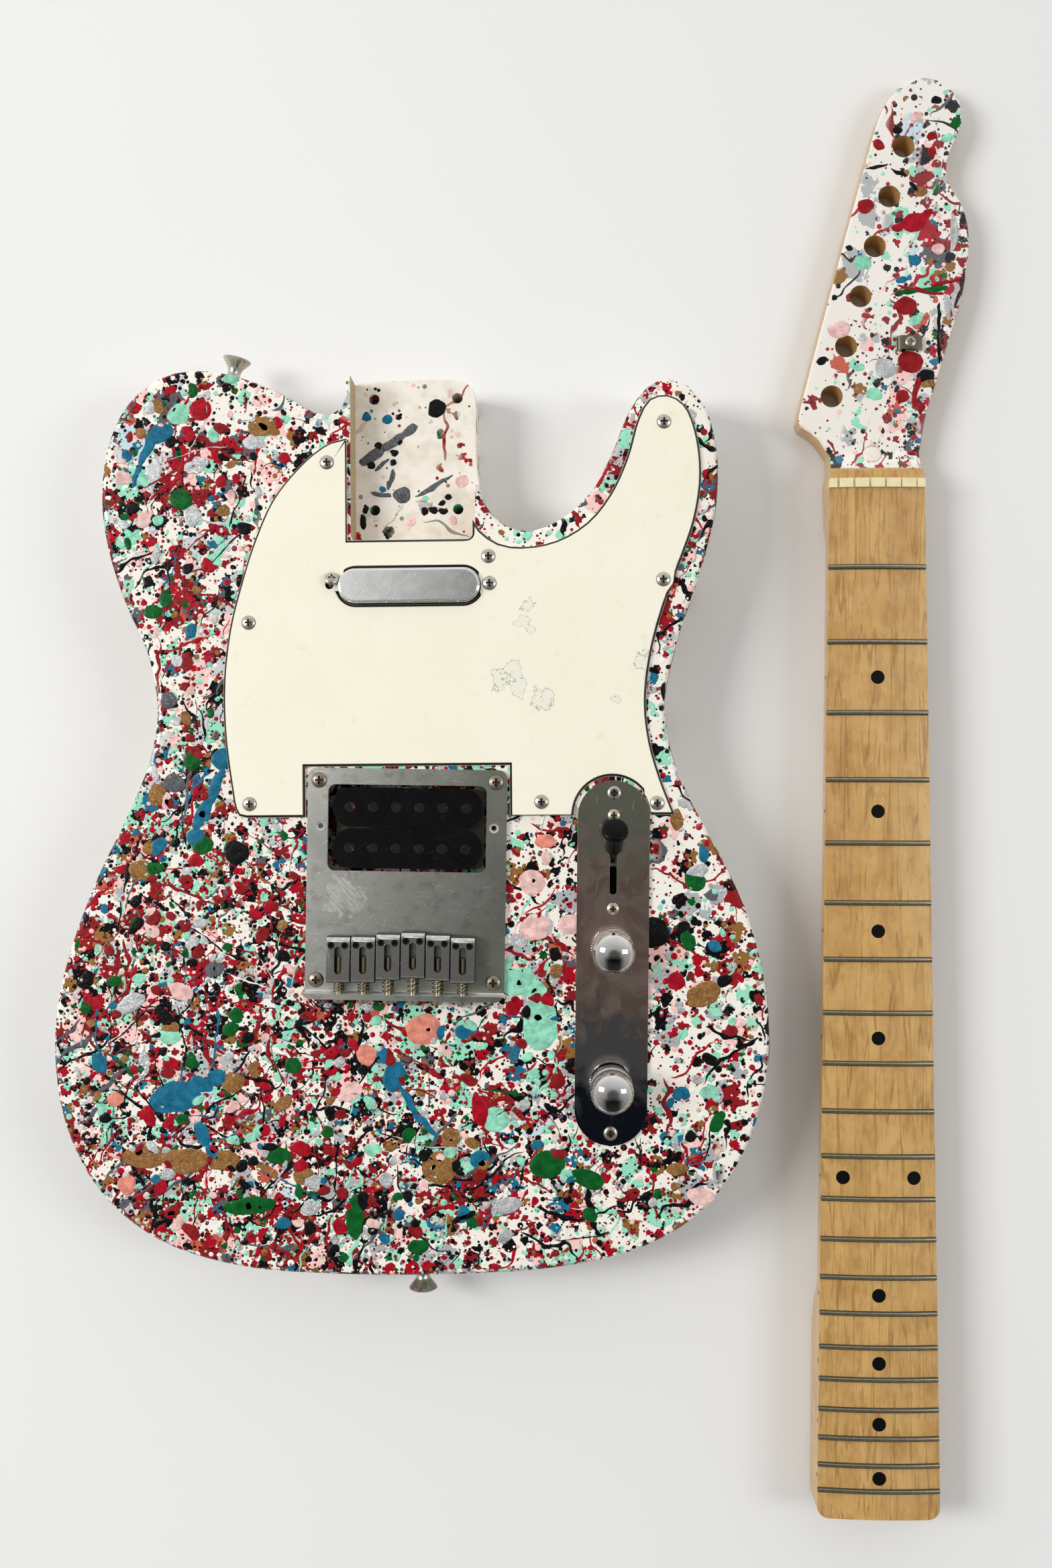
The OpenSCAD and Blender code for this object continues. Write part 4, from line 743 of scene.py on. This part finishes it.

# ---- Screws ----
# Nickel-plated oval-head screws with crossed recesses, dull, with painted shade and dirt in their
# recesses and on their steep sides.


def metal_finish(name, colour, rough, dirt, hazed=0.3):
    """Plated metal: cloudy, scratched and with dirt in patches."""
    material, place = new_finish(name)
    cloud = place.noise(6, 3, 0.6)
    hair = place.hairs(0.35, 0.66, 0.08, 35, 0.08)
    spots = place.noise(1.6, 3, 0.7).above(0.68, 0.06)
    dull = tuple(v * (1 - 0.35 * hazed) for v in colour)
    shade = cloud.above(0.5, 0.4).tinted(colour, dull)
    shade = (spots * dirt).tinted(shade, srgb(74, 60, 44))
    return settle(material, shade, rough + cloud * 0.25 * hazed + hair * 0.12, 1 - spots * dirt,
                  cloud * 0.5 + hair * -0.2 - spots * 0.1, 0.03)


def recessed_finish(name, colour, rough, top, shade_and_grime, steep=0.4):
    """Metal darkened on its steep walls and on any floor sunk below its top: painted shade, with some
    dirt.
    """
    material, place = new_finish(name)
    facing, z = place.facing()[2], place.axes()[2]
    cloud = place.noise(1.8, 3, 0.6)
    floor_of_it = facing.above(0.96, 0.02) * (1 - z.above(top - 0.3, 0.05))
    shaded_deep = (1 - facing.above(steep, 0.1)).most(floor_of_it)
    shade = cloud.above(0.5, 0.3).tinted(colour, tuple(v * 0.72 for v in colour))
    # Painted shade, with some dirt: steep walls and sunk floors take the dark colour and lose their
    # metal
    shade = shaded_deep.tinted(shade, shade_and_grime)
    return settle(material, shade, rough + cloud * 0.15 + shaded_deep * 0.4, 1 - shaded_deep, cloud, 0.03)


def stays(node, material):
    """A CAD part that keeps its own shape."""
    painted(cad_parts[node], material)


NICKEL = srgb(206, 200, 188)
# Painted shade and dirt for the recesses and steep sides of screws
SHADE_AND_DIRT = srgb(50, 38, 28)
stays("cover_screws", recessed_finish("guard_screw_nickel", NICKEL, 0.2, 47.79, SHADE_AND_DIRT))
stays("neck_pickup_screws", recessed_finish("ear_screw_nickel", NICKEL, 0.2, 47.79, SHADE_AND_DIRT))

# ---- Neck pickup ----
# A drawn metal cover, chromed and still bright, over a coil former with six magnets.


def eased_part(node, name, body, slot, material, width, rounds=2, sharper_than=40, smooth=35):
    piece = merged_copy(node, name)
    flat_faces_joined(piece)
    edges_eased(piece, width, rounds, sharper_than)
    smoothed(piece, smooth)
    painted(piece, material)
    stands_for(piece, body, slot, node)
    return piece


def cover_finish():
    """Chrome with a pale film left by fingers, thicker to the left."""
    material, place = new_finish("cover_chrome")
    level = place.facing()[2].above(0.97, 0.02)
    cloud = place.noise(6, 3, 0.6)
    hair = place.hairs(0.35, 0.66, 0.08, 35, 0.08)
    film = (0.5 - place.axes()[0] / 50 + (cloud - 0.5) * 0.8).above(0.5, 1.2) * level * 0.5
    return settle(material, srgb(230, 231, 228), 0.06 + film * 0.4 + hair * 0.1, 1 - film, hair, 0.02)


eased_part("neck_pickup_cover", "chromed_pickup_cover", "guitar", "chrome_cover", cover_finish(), 1.4, 5)
fibre = metal_finish("coil_former_fibre", srgb(30, 28, 27), 0.6, 0.1)
stays("neck_pickup_bobbin", fibre)
stays("neck_pickup_magnets", metal_finish("magnet_alloy", srgb(120, 116, 112), 0.4, 0.2))

# ---- Bridge ----
# A plate of steel bent up at its back, chromed, hazed green-grey by years of use and
# scratched.  Four wood screws hold it down.


def bridge_finish():
    material, place = new_finish("hazed_bridge_chrome")
    x, y, _ = place.axes()
    haze = place.noise(24, 4, 0.6)
    speck = place.noise(1.2, 2, 0.6).above(0.72, 0.05)
    fine = place.hairs(0.5, 0.70, 0.06, 52, 0.05)
    fine2 = place.stretched(0.06, 1, 1, 8).noise(0.6, 2).above(0.70, 0.06)
    rubbed = 1 - away(x, y, -33, -158) / 12
    rubbed = (rubbed * 0.5 + place.noise(4, 3)).above(0.66, 0.08)
    hatch = (place.hairs(0.45, 0.5, 0.1, -40) * 0.6 + 0.2) * rubbed
    flat = place.facing()[2].above(0.97, 0.04)
    rim = place.noise(6, 3, 0.7).above(0.60, 0.14) * 0.5
    # The plate is painted paler to the left and darker to the right: a painted reflection across the
    # chrome
    shade = ((x + 42) / 80 + (haze - 0.5) * 2.2).tinted(srgb(240, 241, 232), srgb(172, 174, 162))
    shade = (rim * 0.6).tinted(shade, srgb(122, 119, 110))
    shade = (speck * 0.6).tinted(shade, srgb(96, 84, 68))
    scratches = ((fine + fine2) * 0.4 + hatch * 0.6).least(1.0)
    shade = (scratches * 0.2).tinted(shade, srgb(236, 236, 230))
    # Painted highlight: the rounded edges take a pale colour and less metal than the flat faces
    shade = flat.tinted(srgb(206, 206, 200), shade)
    return settle(material, shade, 0.18 + haze * 0.2 + scratches * 0.15,
                  (1 - speck * 0.5) * (flat * 0.6 + 0.4),
                  scratches * -0.4 - speck * 0.4 + haze * 0.4, 0.03)


eased_part("bridge_plate", "bent_bridge_plate", "guitar", "bridge_chrome", bridge_finish(), 0.45, 2, 50)
# Their recesses and steep sides are painted dark: painted shade and dirt
stays("bridge_screws", recessed_finish("bridge_screw_steel", srgb(156, 146, 128), 0.26, 47.69,
                                       srgb(44, 32, 24)))

# ---- Bridge pickup ----
# Two moulded black coil formers side by side, with pole screws level with their tops,
# standing on a steel base.


def moulding_finish(name, colour, gloss, chips):
    material, place = new_finish(name)
    cloud = place.noise(9, 3, 0.6)
    hair = place.hairs(0.45, 0.67, 0.05, 70, 0.07)
    chip = place.noise(2.2, 3, 0.75).above(0.735, 0.02) * chips
    shade = cloud.tinted(colour, tuple(v * 1.9 + 0.001 for v in colour))
    shade = (hair * 0.12).tinted(shade, srgb(60, 58, 56))
    shade = chip.tinted(shade, srgb(176, 160, 132))
    return settle(material, shade, gloss + cloud * 0.18 + hair * 0.15, 0.0,
                  cloud - hair * 0.3 - chip, 0.05, Specular_IOR_Level=0.1)


def pole_finish():
    """Screws with copper showing through their black plating in places."""
    material, place = new_finish("pole_screws_black")
    cloud = place.noise(1.6, 2)
    worn = place.noise(2.4, 2, 0.7).above(0.66, 0.05)
    shade = worn.tinted(srgb(34, 32, 32), srgb(110, 66, 42))
    return settle(material, shade, 0.34 + cloud * 0.15, 0.8, cloud, 0.03)


eased_part("bridge_pickup_bobbins", "moulded_coil_formers", "guitar", "black_fibre",
           moulding_finish("coil_former_moulding", srgb(7, 7, 8), 0.22, 0.4), 0.5, 2, 50)
eased_part("bridge_pickup_poles", "pole_screws", "guitar", "black_screw", pole_finish(), 0.25, 2, 50)
stays("bridge_pickup_base", metal_finish("base_steel", srgb(120, 114, 104), 0.4, 0.2))

# ---- Saddles ----
# Six cast blocks, each with a slot along it for its string, two small height screws,
# and a long screw through the lip that pulls it back against a coil spring.

# The saddles' steep sides and front arc are painted dark: painted shade
cast = recessed_finish("cast_saddle_metal", srgb(226, 225, 219), 0.12, 54.3, srgb(46, 40, 32), 0.75)
black_steel = metal_finish("height_screw_steel", srgb(52, 50, 50), 0.35, 0.3, 0.5)
gold_steel = metal_finish("intonation_screw_steel", srgb(176, 164, 138), 0.26, 0.5, 0.7)
spring_steel = metal_finish("coil_spring_steel", srgb(134, 124, 104), 0.28, 0.5, 0.7)

BRIDGE_PLACE = (Matrix.Translation((-0.004, -0.1522, BODY_TOP / 1000))
                @ Matrix.Rotation(radians(-1.3), 4, "Z"))
# In the bridge's own frame, in millimetres
SADDLE_PITCH = 10.94
SADDLE_SHIFT = (-0.6, -0.35, 0.9, 1.8, 0.9, 0)
LIP_INSIDE = -48.4
SCREW_AXIS_Z = 6.32
COIL_R = 2.25
WIRE_R = 0.4
TURNS = 3


def coil_spring(number):
    """A coil of round wire between the lip and its saddle, its ends closed."""
    x = (number - 3.5) * SADDLE_PITCH - 1.2
    room = -32.8 + SADDLE_SHIFT[number - 1] - 10.2 - LIP_INSIDE
    rise = (room - 2 * WIRE_R - 0.2) / TURNS
    coil = circle(10, WIRE_R / 1000, False, location=(COIL_R / 1000, 0, 0), rotation=(pi / 2, 0, 0))
    coil.name = f"coil_spring_{number}"
    wind = coil.modifiers.new("wind", "SCREW")
    wind.axis = "Z"
    wind.angle = 2 * pi
    wind.iterations = TURNS
    wind.screw_offset = rise / 1000
    wind.steps = wind.render_steps = 26
    bpy.ops.object.modifier_apply(modifier="wind")
    with editing():
        bpy.ops.mesh.select_mode(type="VERT")
        bpy.ops.mesh.remove_doubles(threshold=0.000001)
        bpy.ops.mesh.select_all(action="DESELECT")
        bpy.ops.mesh.select_non_manifold()
        bpy.ops.mesh.fill_holes(sides=12)
        faces_turned_out()
    seat = Matrix.Translation((x / 1000, (LIP_INSIDE + WIRE_R + 0.1) / 1000, SCREW_AXIS_Z / 1000))
    place = BRIDGE_PLACE @ seat @ Matrix.Rotation(-pi / 2, 4, "X")
    coil.data.transform(place)
    smoothed(coil, 60)
    painted(coil, spring_steel)
    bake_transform(coil)
    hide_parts(f"saddle_spring_{number}")


for number in range(1, 7):
    saddle = f"saddle_{number}"
    eased_part(saddle, "cast_" + saddle, saddle, "saddle_metal", cast, 0.35, 3, 50)
    stays(f"height_screws_{number}", black_steel)
    stays(f"intonation_screw_{number}", gold_steel)
    coil_spring(number)

# ---- Control plate ----
# A long rounded plate of polished steel, tarnished, blotched and painted dark with reflection towards
# the tail, fixed by a screw at each end, with a slot for the switch.


def panel_finish():
    material, place = new_finish("tarnish_and_reflection_panel_chrome")
    cloud = place.noise(15, 4, 0.5, twist=1.0)
    fine = place.hairs(0.5, 0.72, 0.05, 12, 0.04)
    cross = place.stretched(0.05, 1, 1, 40).noise(0.5, 2).above(0.73, 0.05)
    scratch = (fine + cross).least(1.0)
    flat = place.facing()[2].above(0.97, 0.04)
    # Painted reflection, with the plate's tarnish: green-grey at the switch, browned in the middle and
    # nearly black towards the tail, where it mirrors the dark end of the room
    along = place.axes()[1] + (place.noise(16, 3, 0.6, twist=0.8) - 0.5) * 70
    shade = cloud.above(0.5, 0.16).tinted(srgb(216, 184, 170), srgb(246, 216, 200))
    shade = along.above(-140, 24).tinted(shade, srgb(214, 214, 190))
    shade = along.above(-212, 14).tinted(srgb(168, 166, 165), shade)
    shade = along.above(-242, 18).tinted(srgb(54, 64, 78), shade)
    # Painted highlight: the rounded edges take a pale colour and less metal than the flat faces
    shade = flat.tinted(srgb(226, 223, 218), shade)
    shade = (scratch * 0.25).tinted(shade, srgb(214, 206, 200))
    return settle(material, shade, 0.08 + cloud * 0.1 + scratch * 0.12, flat * 0.7 + 0.3,
                  cloud - scratch * 0.4, 0.02)


eased_part("control_plate", "tarnish_and_reflection_control_plate", "guitar", "panel_chrome",
           panel_finish(), 0.6, 2, 50)
steel = metal_finish("switch_steel", srgb(150, 146, 140), 0.35, 0.2)
# Their recesses and steep sides are painted dark: painted shade and dirt
stays("switch_screws", recessed_finish("switch_screw_steel", srgb(200, 190, 166), 0.22, 47.08, SHADE_AND_DIRT))
stays("switch_frame", metal_finish("switch_frame_steel", srgb(62, 60, 58), 0.5, 0.2))
stays("switch_lever", steel)
eased_part("switch_tip", "moulded_switch_tip", "selector", "black_tip",
           moulding_finish("switch_tip_moulding", srgb(8, 8, 9), 0.16, 0.0), 0.2, 2, 35, 50)

# ---- Pots and knobs ----
# Two pots hang under the plate by their bushings and nuts.  Each knob is turned from
# bar, knurled in two bands with a groove between, domed on top and chromed.

KNOB_PLACE = (Matrix.Translation((0.087, -0.1878, BODY_TOP / 1000))
              @ Matrix.Rotation(radians(-1.1), 4, "Z"))
RIDGES = 60
# Radius and height of each step up a knob, and whether its side is knurled
KNOB_STEPS = [(9.1, 0.0, 0), (9.5, 0.45, 1), (9.5, 7.2, 1), (8.8, 7.6, 0), (8.8, 8.7, 0), (9.4, 9.1, 1),
              (9.4, 15.1, 1), (9.1, 15.5, 1), (9.0, 15.6, 0)]
DOME_HEIGHT = 5.4


def knob_finish():
    material, place = new_finish("knob_chrome")
    cloud = place.noise(5, 3, 0.6)
    pits = place.noise(1.1, 2, 0.7).above(0.72, 0.04)
    hair = place.hairs(0.4, 0.68, 0.06, 15, 0.1)
    nx, ny, nz = place.facing()
    shade = cloud.above(0.5, 0.4).tinted(srgb(218, 217, 214), srgb(200, 198, 195))
    # The side towards the tail mirrors the dark end of the room
    mirrored = nx.between(-0.28, 0.28, 0.18) * ny.between(-0.9, -0.1, 0.14) * nz
    shade = mirrored.tinted(shade, srgb(34, 34, 34))
    shade = (pits * 0.6).tinted(shade, srgb(96, 82, 66))
    return settle(material, shade, 0.03 + cloud * 0.05 + hair * 0.06, 1 - pits * 0.4,
                  cloud - hair * 0.2, 0.02)


chromed_knob = knob_finish()


def knurled_knob(name, y, bottom, node, body):
    """A knob built up ring by ring from its underside, the knurled rings toothed."""
    (wide, high, _), (dome_r, dome_foot, _) = KNOB_STEPS[0], KNOB_STEPS[-1]
    top = dome_foot + DOME_HEIGHT
    rings = [(r, z) for r, z, _ in KNOB_STEPS[1:]]
    rings += [(dome_r * cos(pi / 2 * k / 9), dome_foot + DOME_HEIGHT * sin(pi / 2 * k / 9))
              for k in range(1, 9)]
    knob = circle(2 * RIDGES, wide / 1000)
    knob.name = name
    with editing():
        for r, z in rings:
            extruded((0, 0, (z - high) / 1000), (r / wide, r / wide, 1), (0, 0, z / 1000))
            wide, high = r, z
        bpy.ops.mesh.poke()
    toothed = [z for _, z, teeth in KNOB_STEPS if teeth]
    for v in knob.data.vertices:
        v.select = (any(abs(v.co.z * 1000 - z) < 0.01 for z in toothed)
                    and round(v.co.xy.angle_signed(Vector((1, 0)), 0) * RIDGES / pi) % 2 == 1)
        if v.co.xy.length < 1e-6 and v.co.z > 0.01:
            v.co.z = top / 1000
    for group in (knob.data.edges, knob.data.polygons):
        for part in group:
            part.select = False
    bpy.ops.object.mode_set(mode="EDIT")
    bpy.ops.mesh.select_mode(type="VERT")
    bpy.ops.transform.resize(value=(0.962, 0.962, 1), center_override=(0, 0, 0))
    faces_turned_out()
    bpy.ops.object.mode_set(mode="OBJECT")
    knob.data.transform(KNOB_PLACE @ Matrix.Translation((0, y / 1000, (bottom - BODY_TOP) / 1000)))
    smoothed(knob, 24)
    painted(knob, chromed_knob)
    stands_for(knob, body, "knob_chrome", node)


knurled_knob("volume_knob_turned", 6.2, 46.9, "volume_knob", "volume")
knurled_knob("tone_knob_turned", -53.4, 49.7, "tone_knob", "tone")
for node in ("volume_pot", "tone_pot", "volume_shaft", "tone_shaft"):
    stays(node, steel)
stays("pot_nuts", metal_finish("pot_nut_steel", srgb(176, 170, 158), 0.3, 0.3))

# ---- Strap buttons and jack ----
# Two turned buttons screwed into the sides of the body, and a cup let into the lower
# edge around the cable socket.

button_metal = metal_finish("button_nickel", srgb(200, 196, 186), 0.2, 0.3, 0.4)
eased_part("strap_buttons", "turned_strap_buttons", "guitar", "chrome_cover", button_metal, 0.3, 2, 45)
stays("strap_screws", button_metal)
eased_part("jack_cup", "pressed_jack_cup", "guitar", "panel_chrome", button_metal, 0.3, 2, 45)
stays("jack_socket", steel)

# ---- Neck ----
# One piece of lacquered maple, ambered with age.  Only the face of its headstock was
# painted and splashed with the body.

NECK_SPOT = (210.6, 25.8, 0.0)
NECK_TURN = -0.57
HEAD_PAINT_FROM = 9.6


def on_neck(place):
    return place.node("Mapping", {"vector_type": "TEXTURE"},
                      {"Vector": place, "Location": NECK_SPOT, "Rotation": (0, 0, radians(NECK_TURN))})


def maple(place):
    """Colour and relief of flat-sawn maple with its grain along y."""
    slow = place.stretched(1, 0.05, 1).noise(9, 3, 0.5, twist=0.6)
    growth = (slow * 55 + place.stretched(1, 0.1, 1).noise(2.5, 3, 0.6) * 3).math("SINE")
    lines = growth.above(0.85, 0.3) * place.stretched(1, 0.2, 1).noise(6, 3, 0.7).above(0.46, 0.2)
    pores = place.stretched(1, 0.06, 1).noise(0.5, 2, 0.6).above(0.64, 0.08)
    figure = place.stretched(0.5, 1, 0.5, 12).noise(8, 2, 0.5)
    colour = slow.above(0.5, 0.3).tinted(srgb(204, 163, 98), srgb(186, 143, 82))
    colour = (figure.above(0.5, 0.3) * 0.4).tinted(colour, srgb(216, 178, 118))
    colour = (lines * 0.6).tinted(colour, srgb(140, 95, 48))
    colour = (pores * 0.25).tinted(colour, srgb(134, 92, 50))
    return colour, pores


def neck_finish():
    material, place = new_finish("ambered_maple_neck")
    here = on_neck(place)
    x, y, _ = here.axes()
    facing = place.facing()[2]
    colour, pores = maple(here)
    # Played bare patches and dark rims along the board
    worn = here.stretched(1, 0.35, 1).noise(5, 4, 0.65).above(0.56, 0.16) * facing.above(0.6, 0.2) * 0.42
    colour = worn.tinted(colour, srgb(156, 112, 60))
    face = facing.above(0.35, 0.1) * y.above(HEAD_PAINT_FROM, 0.6)
    ground = here.noise(50, 2).tinted(srgb(244, 240, 234), srgb(232, 226, 214))
    # The headstock's left side stayed nearly clean
    cover = (0.26 + (y - 40) / 900 + (x - 0.28 * y + 22) / 90).least(0.66).most(0.12)
    flat = here.moved(640, 220, 0)
    paint, metal, rough, height = splashed(flat, cover, ground)
    colour = face.tinted(colour, paint)
    rough = face * rough + (1 - face) * 0.3
    height = face * height - pores * (1 - face) * 0.12
    return settle(material, colour, rough, metal * face, height, 0.5,
                  Coat_Weight=0.35, Coat_Roughness=0.12)


neck = merged_copy("neck", "maple_neck")
smoothed(neck, 28)
painted(neck, neck_finish())
stands_for(neck, "guitar", "maple", "neck")

# The sides of the frets are painted dark: painted shade
fret_metal = recessed_finish("fret_nickel_silver", srgb(176, 171, 146), 0.2, 0, srgb(58, 50, 32), 0.86)
eased_part("frets", "crowned_frets", "guitar", "fret_wire", fret_metal, 0.45, 2, 30, 50)


def plain_finish(name, colour, rough, mottle, **steady):
    """Bone, lacquered plastic or wood with soft mottling."""
    material, place = new_finish(name)
    cloud = place.noise(4.0, 3, 0.6)
    shade = cloud.above(0.5, 0.5).tinted(colour, tuple(v * (1 - mottle) for v in colour))
    return settle(material, shade, rough + cloud * 0.15, 0.0, cloud, 0.04, **steady)


eased_part("nut", "cream_nut_finished", "guitar", "cream_nut",
           plain_finish("nut_bone", srgb(242, 228, 182), 0.32, 0.16), 0.25, 2, 50)
stays("position_dots",
      plain_finish("dot_black_plastic", srgb(9, 9, 9), 0.3, 0.3, Specular_IOR_Level=0.15))
eased_part("string_tree", "turned_string_tree", "guitar", "nickel_silver",
           metal_finish("tree_nickel", srgb(128, 120, 106), 0.22, 0.4, 0.6), 0.2)
stays("string_tree_screw", metal_finish("tree_screw_nickel", srgb(180, 174, 158), 0.3, 0.5, 0.5))
stays("truss_rod", metal_finish("rod_steel", srgb(110, 106, 100), 0.45, 0.4))


def walnut_finish():
    """Walnut, but its plug in the headstock was painted over with the face."""
    material, place = new_finish("walnut")
    y = on_neck(place).axes()[1]
    painted_over = place.facing()[2].above(0.35, 0.1) * y.above(HEAD_PAINT_FROM, 0.6)
    grain = place.stretched(1, 0.15, 1).noise(1.2, 3, 0.6)
    wood = grain.tinted(srgb(64, 40, 26), srgb(112, 74, 46))
    paint = place.noise(6, 2).above(0.62, 0.02).tinted(srgb(232, 226, 214), PINK)
    return settle(material, painted_over.tinted(wood, paint), grain * 0.2 + 0.3, 0.0, grain, 0.05)


stays("walnut_inlays", walnut_finish())

# The neck tips back about the front of its heel block, this many metres from the nut,
# until the end of the headstock is 4.6 mm lower and rests on the table
HEEL_FRONT = 0.393
SLANT = radians(0.45)
HEAD_FACE = (Matrix.Translation((NECK_SPOT[0] / 1000, NECK_SPOT[1] / 1000, 0))
             @ Matrix.Rotation(radians(NECK_TURN), 4, "Z")
             @ Matrix.Translation((0, -HEEL_FRONT, 0)) @ Matrix.Rotation(-SLANT, 4, "X")
             @ Matrix.Translation((0, HEEL_FRONT, 0)))
HEAD_TOP = 18.4
HEAD_DROPS = {
    "head_red": (srgb(150, 24, 30), [
        (2.5, 161, 2.6, 2.6), (-3.7, 132.7, 4, 3.6), (27, 165, 2.4, 2), (27, 158, 2, 2.4),
        (15, 86, 5, 4.4), (22, 93, 1, 11, 80), (34, 97, 0.9, 8, 100), (17, 60, 6, 5),
        (20, 48, 1.4, 8, -20), (22, 38, 1.2, 3, -20), (13, 44, 3.2, 3), (19, 41, 2, 2),
        (18.5, 15.5, 3, 1.4, -50)]),
    "head_crimson": (CRIMSON, [(19, 125, 6, 4.6, 20), (11, 122, 3, 2), (25, 129, 2, 3, -40)]),
    "head_black": (BLACK, [
        (2, 151, 5.5, 0.9, 12), (12, 148, 4, 0.9, -30), (19, 141, 4, 0.9, -55), (11, 168, 2, 2),
        (29, 182, 2.6, 2), (30, 80, 0.9, 8), (30, 66, 0.9, 7), (24, 53, 4, 3.6),
        (-24, 60.5, 2.3, 2.3), (-11, 113, 1.6, 1.6), (-18, 90, 1.6, 1.6)]),
    "head_green": (GREEN, [(38, 171, 2.6, 3), (16, 92.5, 6, 1.3, 5), (28, 94, 7, 1.4, 4)]),
    "head_mint": (MINT, [
        (34, 164, 3, 2.4), (-5, 106, 4, 3.4), (19, 79, 3, 2.4), (0, 45, 4, 3.4), (-7, 57, 2.6, 2)]),
    "head_silver": (SILVER, [(5, 57, 5, 4.6), (37, 120, 1.8, 9), (34, 85, 1.6, 6, 10)]),
    "head_pink": (PINK, [(-16, 75, 5, 4), (30, 112, 3, 2), (20, 174, 3, 2, 20)]),
    "head_bronze": (BRONZE, [(25, 50, 3, 2, 20), (22, 139, 3, 2.4)]),
    "head_teal": (TEAL, [(19, 107, 3, 2.6), (13, 98, 2.4, 2)]),
}
for paint, (colour, rows) in HEAD_DROPS.items():
    scattered(drop, "drops_" + paint, colour, HEAD_TOP, rows, HEAD_FACE)
bpy.data.objects.remove(drop)
